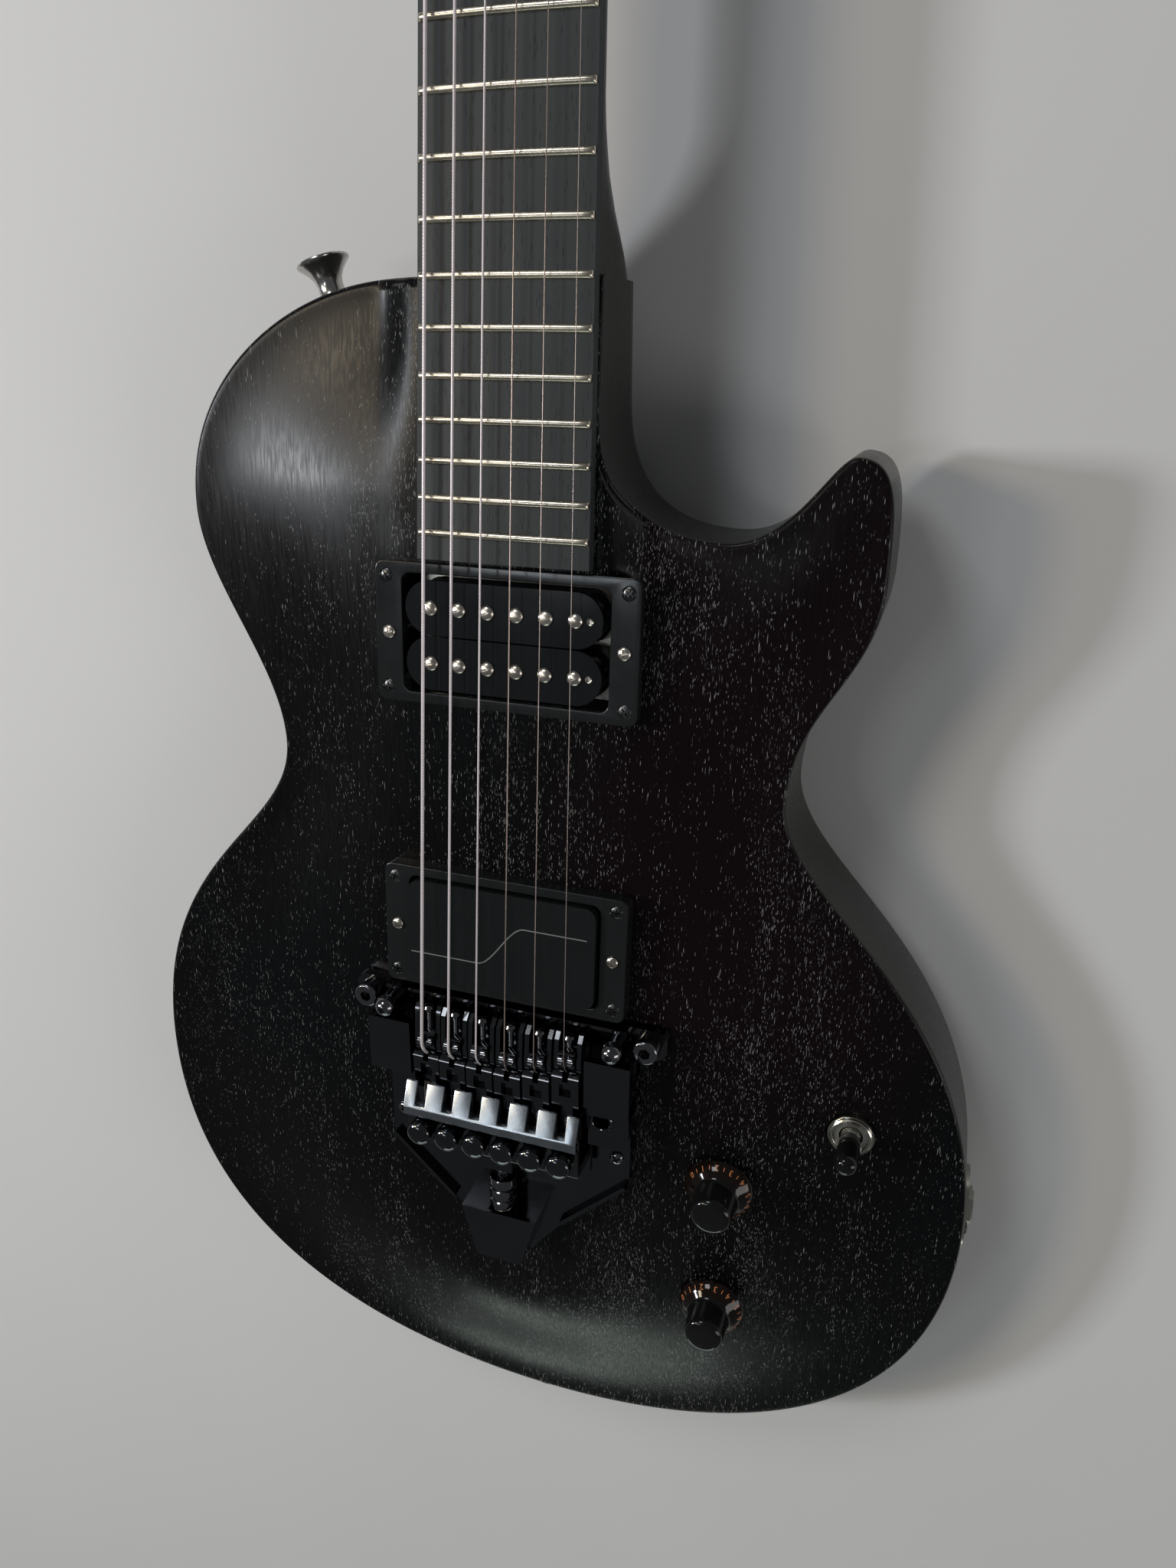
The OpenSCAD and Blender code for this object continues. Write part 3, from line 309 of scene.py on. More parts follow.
def lathe(profile, sides=48):
    """A solid of revolution about z from (radius, z) points. Radius 0 closes an end."""
    bm = bmesh.new()
    rows = []
    for r, z in profile:
        rows.append([bm.verts.new((x, y, z)) for x, y in (circle(r, sides) if r > 1e-6 else [(0, 0)])])
    for low, high in zip(rows, rows[1:]):
        for k in range(sides):
            j = (k + 1) % sides
            if len(low) == 1 and len(high) > 1:
                bm.faces.new((low[0], high[j], high[k]))
            elif len(high) == 1 and len(low) > 1:
                bm.faces.new((low[k], low[j], high[0]))
            elif len(low) > 1:
                bm.faces.new((low[k], low[j], high[j], high[k]))
    return bm


def prism(outline, low, high):
    """An extruded outline, counter-clockwise, from z low to z high."""
    bm = bmesh.new()
    bottom = [bm.verts.new((x, y, low)) for x, y in outline]
    top = [bm.verts.new((x, y, high)) for x, y in outline]
    n = len(outline)
    bm.faces.new(bottom[::-1])
    bm.faces.new(top)
    for i in range(n):
        j = (i + 1) % n
        bm.faces.new((bottom[i], bottom[j], top[j], top[i]))
    return bm


def rounded_rectangle(length, width, radius, steps=8):
    points = []
    for cx, cy, start in ((1, 1, 0), (-1, 1, 90), (-1, -1, 180), (1, -1, 270)):
        for s in range(steps + 1):
            a = math.radians(start + 90 * s / steps)
            points.append((cx * (length / 2 - radius) + radius * math.cos(a),
                           cy * (width / 2 - radius) + radius * math.sin(a)))
    return points


def block(x, y, z):
    """A box from three (low, high) spans."""
    return prism([(x[0], y[0]), (x[1], y[0]), (x[1], y[1]), (x[0], y[1])], z[0], z[1])


def circle(radius, sides=32, centre=(0, 0)):
    return [(centre[0] + radius * math.cos(2 * math.pi * k / sides),
             centre[1] + radius * math.sin(2 * math.pi * k / sides)) for k in range(sides)]


def placed(bm, matrix):
    bm.transform(matrix)
    return bm


def rod(radius, sides, low, high, matrix=Matrix()):
    """A round prism, moved by a matrix."""
    return placed(prism(circle(radius, sides), low, high), matrix)


def append(bm, other):
    """Adds another bmesh's geometry."""
    mesh = bpy.data.meshes.new("part")
    other.to_mesh(mesh)
    other.free()
    bm.from_mesh(mesh)
    bpy.data.meshes.remove(mesh)
    return bm


def together(*parts):
    """One bmesh from several."""
    bm = bmesh.new()
    for part in parts:
        append(bm, part)
    return bm


def cut(obj, cutters):
    """Cuts each cutter bmesh, in millimetres, out of the object."""
    for bm in cutters:
        tool = from_bmesh("cutter", bm)
        modifier = obj.modifiers.new("cut", "BOOLEAN")
        modifier.operation = "DIFFERENCE"
        modifier.solver = "EXACT"
        modifier.object = tool
        mesh = evaluated_mesh(obj)
        obj.modifiers.clear()
        obj.data = mesh
        bpy.data.objects.remove(tool)
    return obj


def piece(obj, body, material, slot, *replaced):
    """Finishes a piece: its material, the body it moves with, and the CAD nodes it stands for."""
    obj.data.materials.clear()
    obj.data.materials.append(material)
    if body is not None:
        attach(obj, body)
    if replaced:
        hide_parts(*replaced)
    return obj


# ---- materials
class Finish:
    """A procedural material drawn in object coordinates, which are metres in the CAD frame."""

    def __init__(self, name, **values):
        self.material = bpy.data.materials.new(name)
        self.material.use_nodes = True
        self.tree = self.material.node_tree
        self.shader = self.tree.nodes["Principled BSDF"]
        for key, value in values.items():
            self.socket(key).default_value = value
        self.place = self.add("TexCoord", "Object")

    def socket(self, key):
        return next(s for s in self.shader.inputs if s.name.lower().replace(" ", "_") == key)

    def add(self, kind, output=0, settings=None, **inputs):
        node = self.tree.nodes.new("ShaderNode" + kind)
        for key, value in (settings or {}).items():
            setattr(node, key, value)
        for key, value in inputs.items():
            socket = node.inputs[int(key[1:]) if key[0] == "_" else key]
            if isinstance(value, bpy.types.NodeSocket):
                self.tree.links.new(value, socket)
            else:
                socket.default_value = value
        return node.outputs[output]

    def stretch(self, x=1.0, y=1.0, z=1.0, shift=(0, 0, 0)):
        return self.add("Mapping", Vector=self.place, Scale=(x, y, z), Location=shift)

    def noise(self, vector, scale, detail=3.0, roughness=0.55):
        return self.add("TexNoise", 0, Vector=vector, Scale=scale, Detail=detail, Roughness=roughness)

    def cells(self, vector, scale):
        """Distance to the nearest scattered point, and a random value for that point."""
        node_out = self.add("TexVoronoi", 0, Vector=vector, Scale=scale)
        colour = node_out.node.outputs["Color"]
        return node_out, self.add("SeparateColor", 0, Color=colour)

    def ramp(self, value, low, high, start=0.0, end=1.0):
        return self.add("MapRange", 0, {"interpolation_type": "SMOOTHSTEP"}, Value=value,
                        **{"From Min": low, "From Max": high, "To Min": start, "To Max": end})

    def calc(self, operation, a, b=0.5):
        return self.add("Math", 0, {"operation": operation}, _0=a, _1=b)

    def times(self, product, *others):
        for other in others:
            product = self.calc("MULTIPLY", product, other)
        return product

    def mix(self, factor, a, b):
        def colour(value):
            return value if isinstance(value, bpy.types.NodeSocket) else (*value, 1)
        return self.add("Mix", 2, {"data_type": "RGBA"}, _0=factor, _6=colour(a), _7=colour(b))

    def use(self, **sources):
        for key, source in sources.items():
            self.tree.links.new(source, self.socket(key))
        return self

    def bump(self, height, distance, strength=1.0):
        """Bump of this many millimetres."""
        socket = self.add("Bump", 0, Height=height, Distance=distance * MM, Strength=strength)
        self.tree.links.new(socket, self.shader.inputs["Normal"])
        return self


def edge_wear(finish, low, high):
    """1 on convex edges, where a finish rubs thin."""
    return finish.ramp(finish.add("NewGeometry", "Pointiness"), low, high)


def make_wood(name="black_mahogany", pore_share=1.0):
    """Open-pored wood under a satin black stain: fine pale flecks along the grain, a red undertone, and sides
    painted a lighter grey-green, a painted reflection.
    """
    f = Finish(name, specular_ior_level=0.14)
    x_y_z = f.add("SeparateXYZ", 0, Vector=f.place).node.outputs
    facing = f.add("SeparateXYZ", 2, Vector=f.add("NewGeometry", "Normal"))
    level = f.calc("ABSOLUTE", facing)
    # 1 on faces that point up or down; lower on the sides, which get fewer pores and the painted side
    # reflection.
    flat = f.ramp(level, 0.45, 0.8)
    patch = f.noise(f.stretch(1, 0.4, 1), 19, 5, 0.65)
    streak = f.noise(f.stretch(1, 0.08, 1), 110, 3, 0.6)
    off_centre = f.calc("ABSOLUTE", f.calc("SUBTRACT", x_y_z[0], 0.035))
    middle = f.times(f.ramp(off_centre, 0.03, 0.13, 1.0, 0.34), flat)
    clumps = f.times(f.ramp(patch, 0.38, 0.66, 0.2, 1.0), f.ramp(streak, 0.36, 0.62, 0.25, 1.0))
    density = f.times(clumps, middle, pore_share)

    def flecks(scale, stretch, shift, width, share):
        near, chance = f.cells(f.stretch(1, stretch, 0.16, shift), scale)
        bright = f.ramp(f.add("SeparateColor", 2, Color=near.node.outputs["Color"]), 0, 1, 0.15, 1.0)
        dot = f.ramp(near, width * 0.4, width, 1, 0)
        return f.times(dot, bright, f.calc("LESS_THAN", chance, f.times(density, share)))

    short = flecks(3000, 0.2, (0, 0, 0), 0.34, 1.0)
    middling = flecks(2800, 0.1, (0.31, 0.17, 0.09), 0.3, 1.0)
    long = flecks(2500, 0.05, (0.7, 0.4, 0.2), 0.25, 0.6)
    pores = f.calc("MAXIMUM", short, f.calc("MAXIMUM", middling, long))
    fine_grain = f.noise(f.stretch(1, 0.05, 1), 1500, 2, 0.5)
    warm_side = f.times(f.ramp(x_y_z[0], -0.02, 0.05), f.ramp(x_y_z[1], -0.08, 0.03))
    drift = f.noise(f.stretch(1, 0.6, 1, (0.4, 0.1, 0)), 7, 2)
    undertone = f.times(f.ramp(drift, 0.36, 0.56), f.calc("MAXIMUM", warm_side, 0.25))
    stain = f.mix(undertone, (0.0026, 0.003, 0.0034), (0.006, 0.0031, 0.0037))
    worn_edge = f.times(edge_wear(f, 0.535, 0.57), f.ramp(patch, 0.3, 0.6, 0.15, 0.8),
                        f.ramp(level, 0.9, 0.97, 1, 0))
    # Faces that don't point up or down are painted a lighter grey-green, a painted reflection on the sides;
    # worn convex edges are lighter still.
    stain_and_painted_side_sheen = f.mix(worn_edge, f.mix(flat, (0.03, 0.031, 0.028), stain), (0.035, 0.034, 0.032))
    f.use(base_color=f.mix(pores, stain_and_painted_side_sheen, (0.33, 0.335, 0.325)),
          roughness=f.ramp(fine_grain, 0.3, 0.7, 0.23, 0.32))
    relief = f.calc("SUBTRACT", f.times(fine_grain, 0.3), pores)
    return f.bump(relief, 0.04, 0.5).material


def make_satin(name, colour, roughness, speck=0.12, metallic=0.0, grain=2600):
    """A moulded or plated surface with a fine texture and smudges."""
    f = Finish(name, metallic=metallic, specular_ior_level=0.5 if metallic else 0.36)
    smudge = f.noise(f.place, 38, 4, 0.65)
    fine = f.noise(f.place, grain, 2)
    dark = tuple(c * (1 - speck) for c in colour)
    light = tuple(min(1, c * (1 + speck)) for c in colour)
    tint = f.mix(smudge, dark, light)
    f.use(base_color=tint, roughness=f.ramp(smudge, 0.3, 0.7, roughness * 0.8, roughness * 1.25))
    return f.bump(fine, 0.024 * min(roughness, 0.5), 0.4).material


def make_edge_metal():
    """A bright metal painted on thin upward edges: a painted highlight for the black plating where an edge
    catches the light.
    """
    f = Finish("plating_edge", metallic=1.0, roughness=0.28)
    tone = f.mix(f.noise(f.place, 60, 3), (0.5, 0.51, 0.52), (0.85, 0.86, 0.88))
    return f.use(base_color=tone).material


def make_board():
    """Dense dark fretboard wood, oiled and matte, with short pores along the neck."""
    f = Finish("fretboard_wood", specular_ior_level=0.35)
    near, chance = f.cells(f.stretch(1, 0.14, 1), 1500)
    pores = f.times(f.ramp(near, 0.2, 0.4, 1, 0), f.calc("LESS_THAN", chance, 0.3))
    tone = f.noise(f.stretch(1, 0.08, 1), 260, 4, 0.6)
    wood = f.mix(tone, (0.022, 0.025, 0.027), (0.036, 0.04, 0.042))
    f.use(base_color=f.mix(pores, wood, (0.012, 0.013, 0.014)),
          roughness=f.ramp(tone, 0.3, 0.7, 0.5, 0.64))
    return f.bump(f.calc("SUBTRACT", f.times(tone, 0.4), pores), 0.03, 0.6).material


BAND_SCALE = 0.157


def make_string(name, colour, pitch, depth):
    """Steel wire; a pitch in millimetres gives the windings."""
    f = Finish(name, metallic=0.2 if pitch else 0.7)
    tarnish = f.noise(f.stretch(1, 0.3, 1), 90, 4, 0.7)
    tone = f.mix(tarnish, tuple(c * 0.72 for c in colour), colour)
    f.use(base_color=tone, roughness=f.ramp(tarnish, 0.3, 0.7, 0.22, 0.36))
    if not pitch:
        return f.material
    kind = {"wave_type": "BANDS", "bands_direction": "Y", "wave_profile": "SIN"}
    wave = f.add("TexWave", "Fac", kind, Vector=f.place, Scale=BAND_SCALE / (pitch * MM))
    return f.bump(wave, depth, 0.35).material


def make_floor():
    f = Finish("pale_floor", roughness=0.75)
    mottle = f.noise(f.place, 3.5, 4, 0.6)
    return f.use(base_color=f.mix(mottle, (0.66, 0.655, 0.65), (0.72, 0.715, 0.71))).material


WOOD = make_wood()
NECK_WOOD = make_wood("neck_mahogany", 0.3)
BOARD = make_board()
FRET_METAL = make_satin("fret_nickel", (0.66, 0.6, 0.49), 0.26, 0.2, 1.0, 900)
BLACK_CHROME = make_satin("black_chrome", (0.09, 0.092, 0.097), 0.11, 0.15, 1.0, 1800)
CHROME = make_satin("dark_chrome", (0.2, 0.2, 0.21), 0.12, 0.15, 1.0, 1800)
# A bright metal for thin upward edges: a painted highlight.
PAINTED_EDGE_HIGHLIGHT = make_edge_metal()
# A pale bluish metal for the comb's upper faces: a painted reflection of the light above.
COMB_PAINTED_REFLECTION = make_satin("comb_chrome", (0.36, 0.39, 0.42), 0.26, 0.15, 1.0, 1800)
NICKEL = make_satin("nickel", (0.5, 0.485, 0.43), 0.2, 0.15, 1.0, 1500)
POLE_METAL = make_satin("pole_steel", (0.66, 0.61, 0.54), 0.27, 0.2, 1.0, 1500)
STRAP_STEEL = make_satin("strap_steel", (0.5, 0.48, 0.46), 0.16, 0.15, 1.0, 1500)
AGED_STEEL = make_satin("aged_steel", (0.3, 0.26, 0.22), 0.36, 0.35, 1.0, 1500)
DARK_SCREW = make_satin("black_screw", (0.09, 0.09, 0.092), 0.3, 0.2, 1.0, 1500)
BLACK_PLASTIC = make_satin("black_plastic", (0.012, 0.0125, 0.0135), 0.34, 0.2)
RING_PLASTIC = make_satin("ring_plastic", (0.012, 0.013, 0.0135), 0.17, 0.2, 0.0, 1400)
BOBBIN = make_satin("bobbin_plastic", (0.008, 0.009, 0.01), 0.1, 0.2)
COVER_PLASTIC = make_satin("cover_plastic", (0.01, 0.011, 0.0115), 0.17, 0.2)
PALE_LINE = make_satin("pale_line", (0.2, 0.21, 0.2), 0.4, 0.2)
GLOSS_BLACK = make_satin("gloss_black", (0.006, 0.006, 0.006), 0.1, 0.2)
SKIRT = make_satin("smoked_skirt", (0.007, 0.0038, 0.0025), 0.07, 0.3)
AMBER = make_satin("amber_digits", (0.6, 0.21, 0.08), 0.25, 0.2)
CAD_STEEL = make_satin("zinc", (0.45, 0.44, 0.4), 0.4, 0.2, 1.0)
BATTERY = make_satin("battery_wrap", (0.05, 0.05, 0.06), 0.4)


# ---- camera, lamps and floor
def make_camera():
    """The camera stands above the treble side of the neck and looks down the body."""
    place = Vector((133.264, 226.670, 364.922)) * MM
    ahead = Vector((-0.29596, -0.36343, -0.88336)).normalized()
    up = Vector((-0.12846, 0.93154, -0.34021))
    right = ahead.cross(up).normalized()
    axes = Matrix((right, right.cross(ahead), -ahead)).transposed().to_4x4()
    data = bpy.data.cameras.new("camera")
    data.lens, data.sensor_width = 24.99, 36
    data.clip_start = 0.01
    camera = bpy.data.objects.new("camera", data)
    camera.matrix_world = Matrix.Translation(place) @ axes
    bpy.context.scene.collection.objects.link(camera)
    bpy.context.scene.camera = camera


def make_lamp(name, place, target, size, power, colour):
    """A rectangular lamp that faces its target. Places and sizes are in metres, power in watts."""
    data = bpy.data.lights.new(name, "AREA")
    data.shape, data.size, data.size_y = "RECTANGLE", size[0], size[1]
    data.energy, data.color = power, colour
    lamp = bpy.data.objects.new(name, data)
    lamp.location = place
    lamp.rotation_euler = (Vector(target) - Vector(place)).to_track_quat("-Z", "Y").to_euler()
    bpy.context.scene.collection.objects.link(lamp)


def make_world():
    world = bpy.data.worlds.new("studio")
    bpy.context.scene.world = world
    world.use_nodes = True
    sky = world.node_tree.nodes["Background"].inputs
    sky["Color"].default_value = (0.93, 0.96, 1, 1)
    sky["Strength"].default_value = 0.1


def make_floor_plane():
    """The guitar lies on the tail edge of its back and on its tuner housings."""
    tail_y, housing_y = -184.0, 759.0
    housing_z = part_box("tuner_housings")[0][2] / MM
    drop = math.degrees(math.atan2(-housing_z, housing_y - tail_y))
    bm = bmesh.new()
    bmesh.ops.create_grid(bm, x_segments=1, y_segments=1, size=4000)
    floor = from_bmesh("floor", bm, move(0, tail_y, -0.1) @ turn(-drop, "X"))
    floor.data.materials.append(make_floor())


make_camera()
make_world()
make_floor_plane()
make_lamp("window", (-1.3, 0.26, 1.05), (0, 0.02, 0.05), (0.2, 0.2), 11, (0.93, 0.96, 1))
make_lamp("warm_bulb", (-0.93, 0.48, 1.24), (-0.06, 0.2, 0.04), (0.2, 0.3), 3.8, (1, 0.84, 0.62))
make_lamp("ceiling", (-0.5, 0.14, 1.4), (0, 0, 0.05), (0.14, 0.36), 1.1, (0.86, 0.93, 1))
make_lamp("head_strip", (-0.43, 1.04, 0.87), (0, 0.1, 0.06), (0.36, 0.36), 3.2, (0.92, 0.96, 1))
make_lamp("tail_fill", (-0.11, -1.58, 0.46), (0, -0.1, 0.05), (0.9, 0.35), 2.2, (0.85, 1, 0.9))
make_lamp("right_fill", (1.4, -0.2, 0.7), (0.05, 0, 0.03), (0.5, 1.0), 4.5, (1, 0.98, 0.96))
bpy.context.scene.view_settings.view_transform = "Standard"


# ---- body
CARVE_STEPS = 30
HEEL_MID, HEEL_HALF = (HEEL_RIGHT - HEEL_LEFT) / 2, (HEEL_RIGHT + HEEL_LEFT) / 2
OUTLINE_FINER = 5


def build_body():
    """The body without its cavities: rings from the back's rounded edge up the side and over the carve."""
    rim, ends, backs = walk_outline(OUTLINE_FINER)
    n = len(rim)
    way = unit(np.roll(rim, -1, axis=0) - np.roll(rim, 1, axis=0))
    out = np.stack([way[:, 1], -way[:, 0]], axis=1)
    share = board_share(rim)
    rim_top = RIM_H + (top_z(rim) - RIM_H) * share
    inward = out * backs[:, None]
    flat_end = rim[:, 1] > JOIN_Y - 0.01
    inward[flat_end, 0] = (backs * (rim[:, 0] - HEEL_MID) / HEEL_HALF)[flat_end]
    inward[flat_end, 1] = 0
    rings = []
    for a in np.linspace(0, 90, 8):
        s, c = math.sin(math.radians(a)), math.cos(math.radians(a))
        rings.append((rim - inward * (1 - s), backs * (1 - c)))
    for a in np.linspace(0, 90, 7):
        s, c = math.sin(math.radians(a)), math.cos(math.radians(a))
        rings.append((rim - out * FACE_ROUND * (1 - c), rim_top - FACE_ROUND * (1 - s)))
    start = rim - out * FACE_ROUND
    for t in np.linspace(0, 1, CARVE_STEPS + 1)[1:]:
        eased = 0.35 * t + 0.65 * t * t
        p = start + (ends - start) * eased
        rings.append((p, top_z(p)))
    bm = rings_to_bmesh([[(x, y, h) for (x, y), h in zip(flat, z)] for flat, z in rings])
    bm.verts.ensure_lookup_table()
    last = [bm.verts[(len(rings) - 1) * n + i] for i in range(n)]
    for i in range(n // 2):
        a, b, c, d = last[i], last[i + 1], last[n - i - 1], last[(n - i) % n]
        bm.faces.new([v for k, v in enumerate((a, b, c, d)) if v not in (a, b, c, d)[:k]])
    back = bm.faces.new([bm.verts[i] for i in range(n - 1, -1, -1)])
    bmesh.ops.triangulate(bm, faces=[back], ngon_method="EAR_CLIP")
    return from_bmesh("body_wood", bm)


CAVITY = [(60, -32), (60, -128), (92, -134), (132, -106), (140, -84),
          (140, -34), (134, -6), (112, -4), (92, -30)]
CAVITY_MIDDLE = np.array([102.0, -70.0])
CEILING_Z = RIM_H - 6
COVER_LEDGE, COVER_DEPTH = 6.1, 2.35
ABOVE_TOP = 70
SWITCH_TOP = float(top_z(SWITCH)[0])
SWITCH_NUT_Z = SWITCH_TOP - 0.65


def grown(points, by):
    return [tuple(np.array(p) + by * unit(np.array(p) - CAVITY_MIDDLE)) for p in points]


def body_cutters():
    """The pickup, neck and control cavities, and the bores of the knobs, switch and jack."""
    for k in (0, 1):
        land = placed(prism(rounded_rectangle(RING_L + 0.2, RING_W + 0.2, 3), -6, 8), IN_RING[k])
        for v in land.verts:
            if v.co.z < RING_Z[k] - 1:
                v.co.z = float(crest(np.array([v.co.y]))[0]) - 0.02
        yield land
        yield placed(prism(rounded_rectangle(74, 41, 4), -24, 8), IN_RING[k])
        yield placed(block((-44, 44), (-7, 7), (-24, 6)), IN_RING[k])
    yield placed(block((-20.1, 20.1), (BOARD_END_Y + 4, JOIN_Y + 30), (-BOARD_SEAT - 25, -BOARD_SEAT + 3)),
                 IN_NECK)
    yield prism(CAVITY, -2, CEILING_Z)
    yield prism(grown(CAVITY, COVER_LEDGE), -1, COVER_DEPTH)
    yield prism(circle(6.2, 32, SWITCH), CEILING_Z - 1, ABOVE_TOP)
    yield prism(circle(8.9, 48, SWITCH), SWITCH_NUT_Z - 0.05, ABOVE_TOP)
    for knob in KNOBS:
        yield prism(circle(4.8, 32, knob), CEILING_Z - 1, ABOVE_TOP)
    yield rod(15.1, 48, 0, 10, AT_JACK)
    yield rod(10, 40, -27, 10, AT_JACK)


body_wood = shade(cut(build_body(), body_cutters()), 32)
piece(body_wood, "guitar", WOOD, "black_mahogany", "body")


# ---- neck
# Each station holds its y, the neck's depth there, and how square its section is, 2 being an ellipse.
NECK_STATIONS = [(SCALE_LEN + NUT_LEN, NECK_D, 2), (SCALE_LEN, NECK_D, 2),
                 (SCALE_LEN * 0.75, NECK_D + 1.2, 2), (SCALE_LEN / 2, NECK_D + 2.5, 2)]
NECK_STATIONS += [(JOIN_Y + dy, NECK_D + deeper, square) for dy, deeper, square in (
    (56, 3, 2), (46, 3.7, 2), (38, 5.7, 2.2), (28, 11, 2.6), (20, 17, 3.2), (10, 24, 4.6), (3, 27, 5.5),
    (-3, 27.6, 6))]
NECK_SIDES = 48
HEAD_POINTS = [(-2, NUT_W / 2 + 0.3), (2, NUT_W / 2 + 0.3), (20, NUT_W / 2 + 5.5), (34, 36.5), (60, 38.5),
               (HEAD_LEN * 0.72, 37), (HEAD_LEN * 0.9, 33), (HEAD_LEN * 0.97, 24), (HEAD_LEN, 9)]


def tuner_place(i):
    side = 1 if i < 3 else -1
    return IN_HEAD @ move(side * TUNER_X, TUNER_FIRST + TUNER_PITCH * (2 - i if i < 3 else i - 3), 0), side


def neck_ring(y, depth, square):
    """Half a superellipse under the fretboard."""
    width = board_half(min(y, SCALE_LEN))
    ring = []
    for k in range(NECK_SIDES + 1):
        a = math.pi * (1 - k / NECK_SIDES)
        side = math.copysign(abs(math.cos(a)) ** (2 / square), math.cos(a))
        ring.append((width * side, y, -BOARD_SEAT - depth * abs(math.sin(a)) ** (2 / square)))
    return ring


def build_neck():
    rings = []
    for low, high in zip(NECK_STATIONS, NECK_STATIONS[1:]):
        steps = max(3, int(abs(high[0] - low[0]) / 10))
        for s in range(steps):
            rings.append(neck_ring(*[a + (b - a) * s / steps for a, b in zip(low, high)]))
    rings.append(neck_ring(*NECK_STATIONS[-1]))
    shaft = from_bmesh("neck_wood", rings_to_bmesh(rings, cap_first=True, cap_last=True), IN_NECK)
    cut(shaft, [block((-60, 60), (JOIN_Y - 60, JOIN_Y + 0.05), (-20, 90))])
    outline = [(w, y) for y, w in HEAD_POINTS] + [(-w, y) for y, w in HEAD_POINTS[::-1]]
    plate = bevel_sharp(prism(outline, -HEAD_T, 0), 1.2, 3, 20)
    head = from_bmesh("head", plate, IN_HEAD)
    cut(head, [rod(4.95, 32, -20, 10, tuner_place(i)[0]) for i in range(6)])
    both = bmesh.new()
    for part in (shaft, head):
        both.from_mesh(part.data)
    both.to_mesh(shaft.data)
    both.free()
    bpy.data.objects.remove(head)
    return shaft


piece(shade(build_neck(), 30), "guitar", NECK_WOOD, "black_mahogany", "neck")


# ---- frets
FRET_PROFILE = [(-1.2, -0.3), (-1.2, 0.12), (-1.08, 0.52), (-0.82, 0.88), (-0.45, 1.12), (0, 1.2),
                (0.45, 1.12), (0.82, 0.88), (1.08, 0.52), (1.2, 0.12), (1.2, -0.3)]


def board_z(x):
    return -FRET_H - BOARD_R + math.sqrt(BOARD_R**2 - x * x)


def build_frets():
    bm = bmesh.new()
    for i in range(1, FRET_COUNT + 1):
        y, half = fret_y(i), board_half(fret_y(i)) - 0.35
        stations = [(-half, 0.3), (-half + 0.5, 0.86), (-half + 0.9, 1.0)]
        stations += [(x, 1.0) for x in np.linspace(-half + 3, half - 3, 9)]
        stations += [(half - 0.9, 1.0), (half - 0.5, 0.86), (half, 0.3)]
        rings = [[(x, y + dy, board_z(x) + (dz * share if dz > 0 else dz)) for dy, dz in FRET_PROFILE]
                 for x, share in stations]
        append(bm, rings_to_bmesh(rings, cap_first=True, cap_last=True))
    return from_bmesh("fret_wires", bm, IN_NECK)


piece(shade(build_frets(), 50), "guitar", FRET_METAL, "nickel_silver", "frets")


# ---- strings
POST_R, WRAP_Z = 3.1, 9.0
RETAINER_Y, RETAINER_Z = 16.0, 5.0
WINDINGS = [0, 0, 0, 0.34, 0.42, 0.5]
STRING_COLOURS = [(0.5, 0.42, 0.39), (0.52, 0.42, 0.38), (0.55, 0.43, 0.38),
                  (0.88, 0.79, 0.81), (0.91, 0.82, 0.84), (0.93, 0.84, 0.86)]
ON_SADDLE = [(-6.2, -4.2), (-4.8, -2.7), (-3.2, -1.5), (-1.9, -0.62), (-0.8, -0.16), (0.4, 0.0), (1.5, 0.0)]
WRAP_TURNS, WRAP_STEPS = 2.4, 16


def string_points(i):
    """A string's path from its saddle over the nut and under the retainer bar to its post."""
    place, side = tuner_place(i)
    r = STRING_R[i]
    reach = POST_R + 0.3 + r
    points = [IN_NECK @ Vector((saddle_x(i), SADDLE_SHIFT[i] + dy, saddle_z(i) + dz)) for dy, dz in ON_SADDLE]
    start, end = points[-1], IN_NECK @ Vector((nut_x(i), SCALE_LEN, 0.95))
    points += [start.lerp(end, s) for s in np.linspace(0, 1, 40)[1:]]
    points.append(IN_NECK @ Vector((nut_x(i), SCALE_LEN + NUT_LEN, 0.85)))
    points.append(IN_HEAD @ Vector((nut_x(i) * 1.04, RETAINER_Y, RETAINER_Z)))
    for s in range(int(WRAP_TURNS * WRAP_STEPS) + 1):
        wound = 2 * math.pi * s / WRAP_STEPS
        a = math.pi - wound if side > 0 else wound
        drop = s / WRAP_STEPS * 2.2 * r
        points.append(place @ Vector((reach * math.cos(a), reach * math.sin(a), WRAP_Z - drop)))
    return points


def sweep(points, radius, sides=10):
    """A round tube along points, each side edge kept from twisting."""
    rings = []
    for k, p in enumerate(points):
        way = (points[min(k + 1, len(points) - 1)] - points[max(k - 1, 0)]).normalized()
        across = way.cross(Vector((0, 0, 1)))
        across = across.normalized() if across.length > 1e-4 else Vector((1, 0, 0))
        up = across.cross(way)
        rings.append([p + radius * (math.cos(a) * across + math.sin(a) * up)
                      for a in np.linspace(0, 2 * math.pi, sides, endpoint=False)])
    return rings_to_bmesh(rings, cap_first=True, cap_last=True)


for i in range(6):
    string = shade(from_bmesh(f"string_wire_{i + 1}", sweep(string_points(i), STRING_R[i])), 60)
    finish = make_string(f"string_{i + 1}_steel", STRING_COLOURS[i], WINDINGS[i], 0.06)
    piece(string, None, finish, "string_steel", f"string_{i + 1}")
    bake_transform(string)


# ---- hardware tools
RNG = np.random.default_rng(SEED)
QUARTER = math.pi / 2


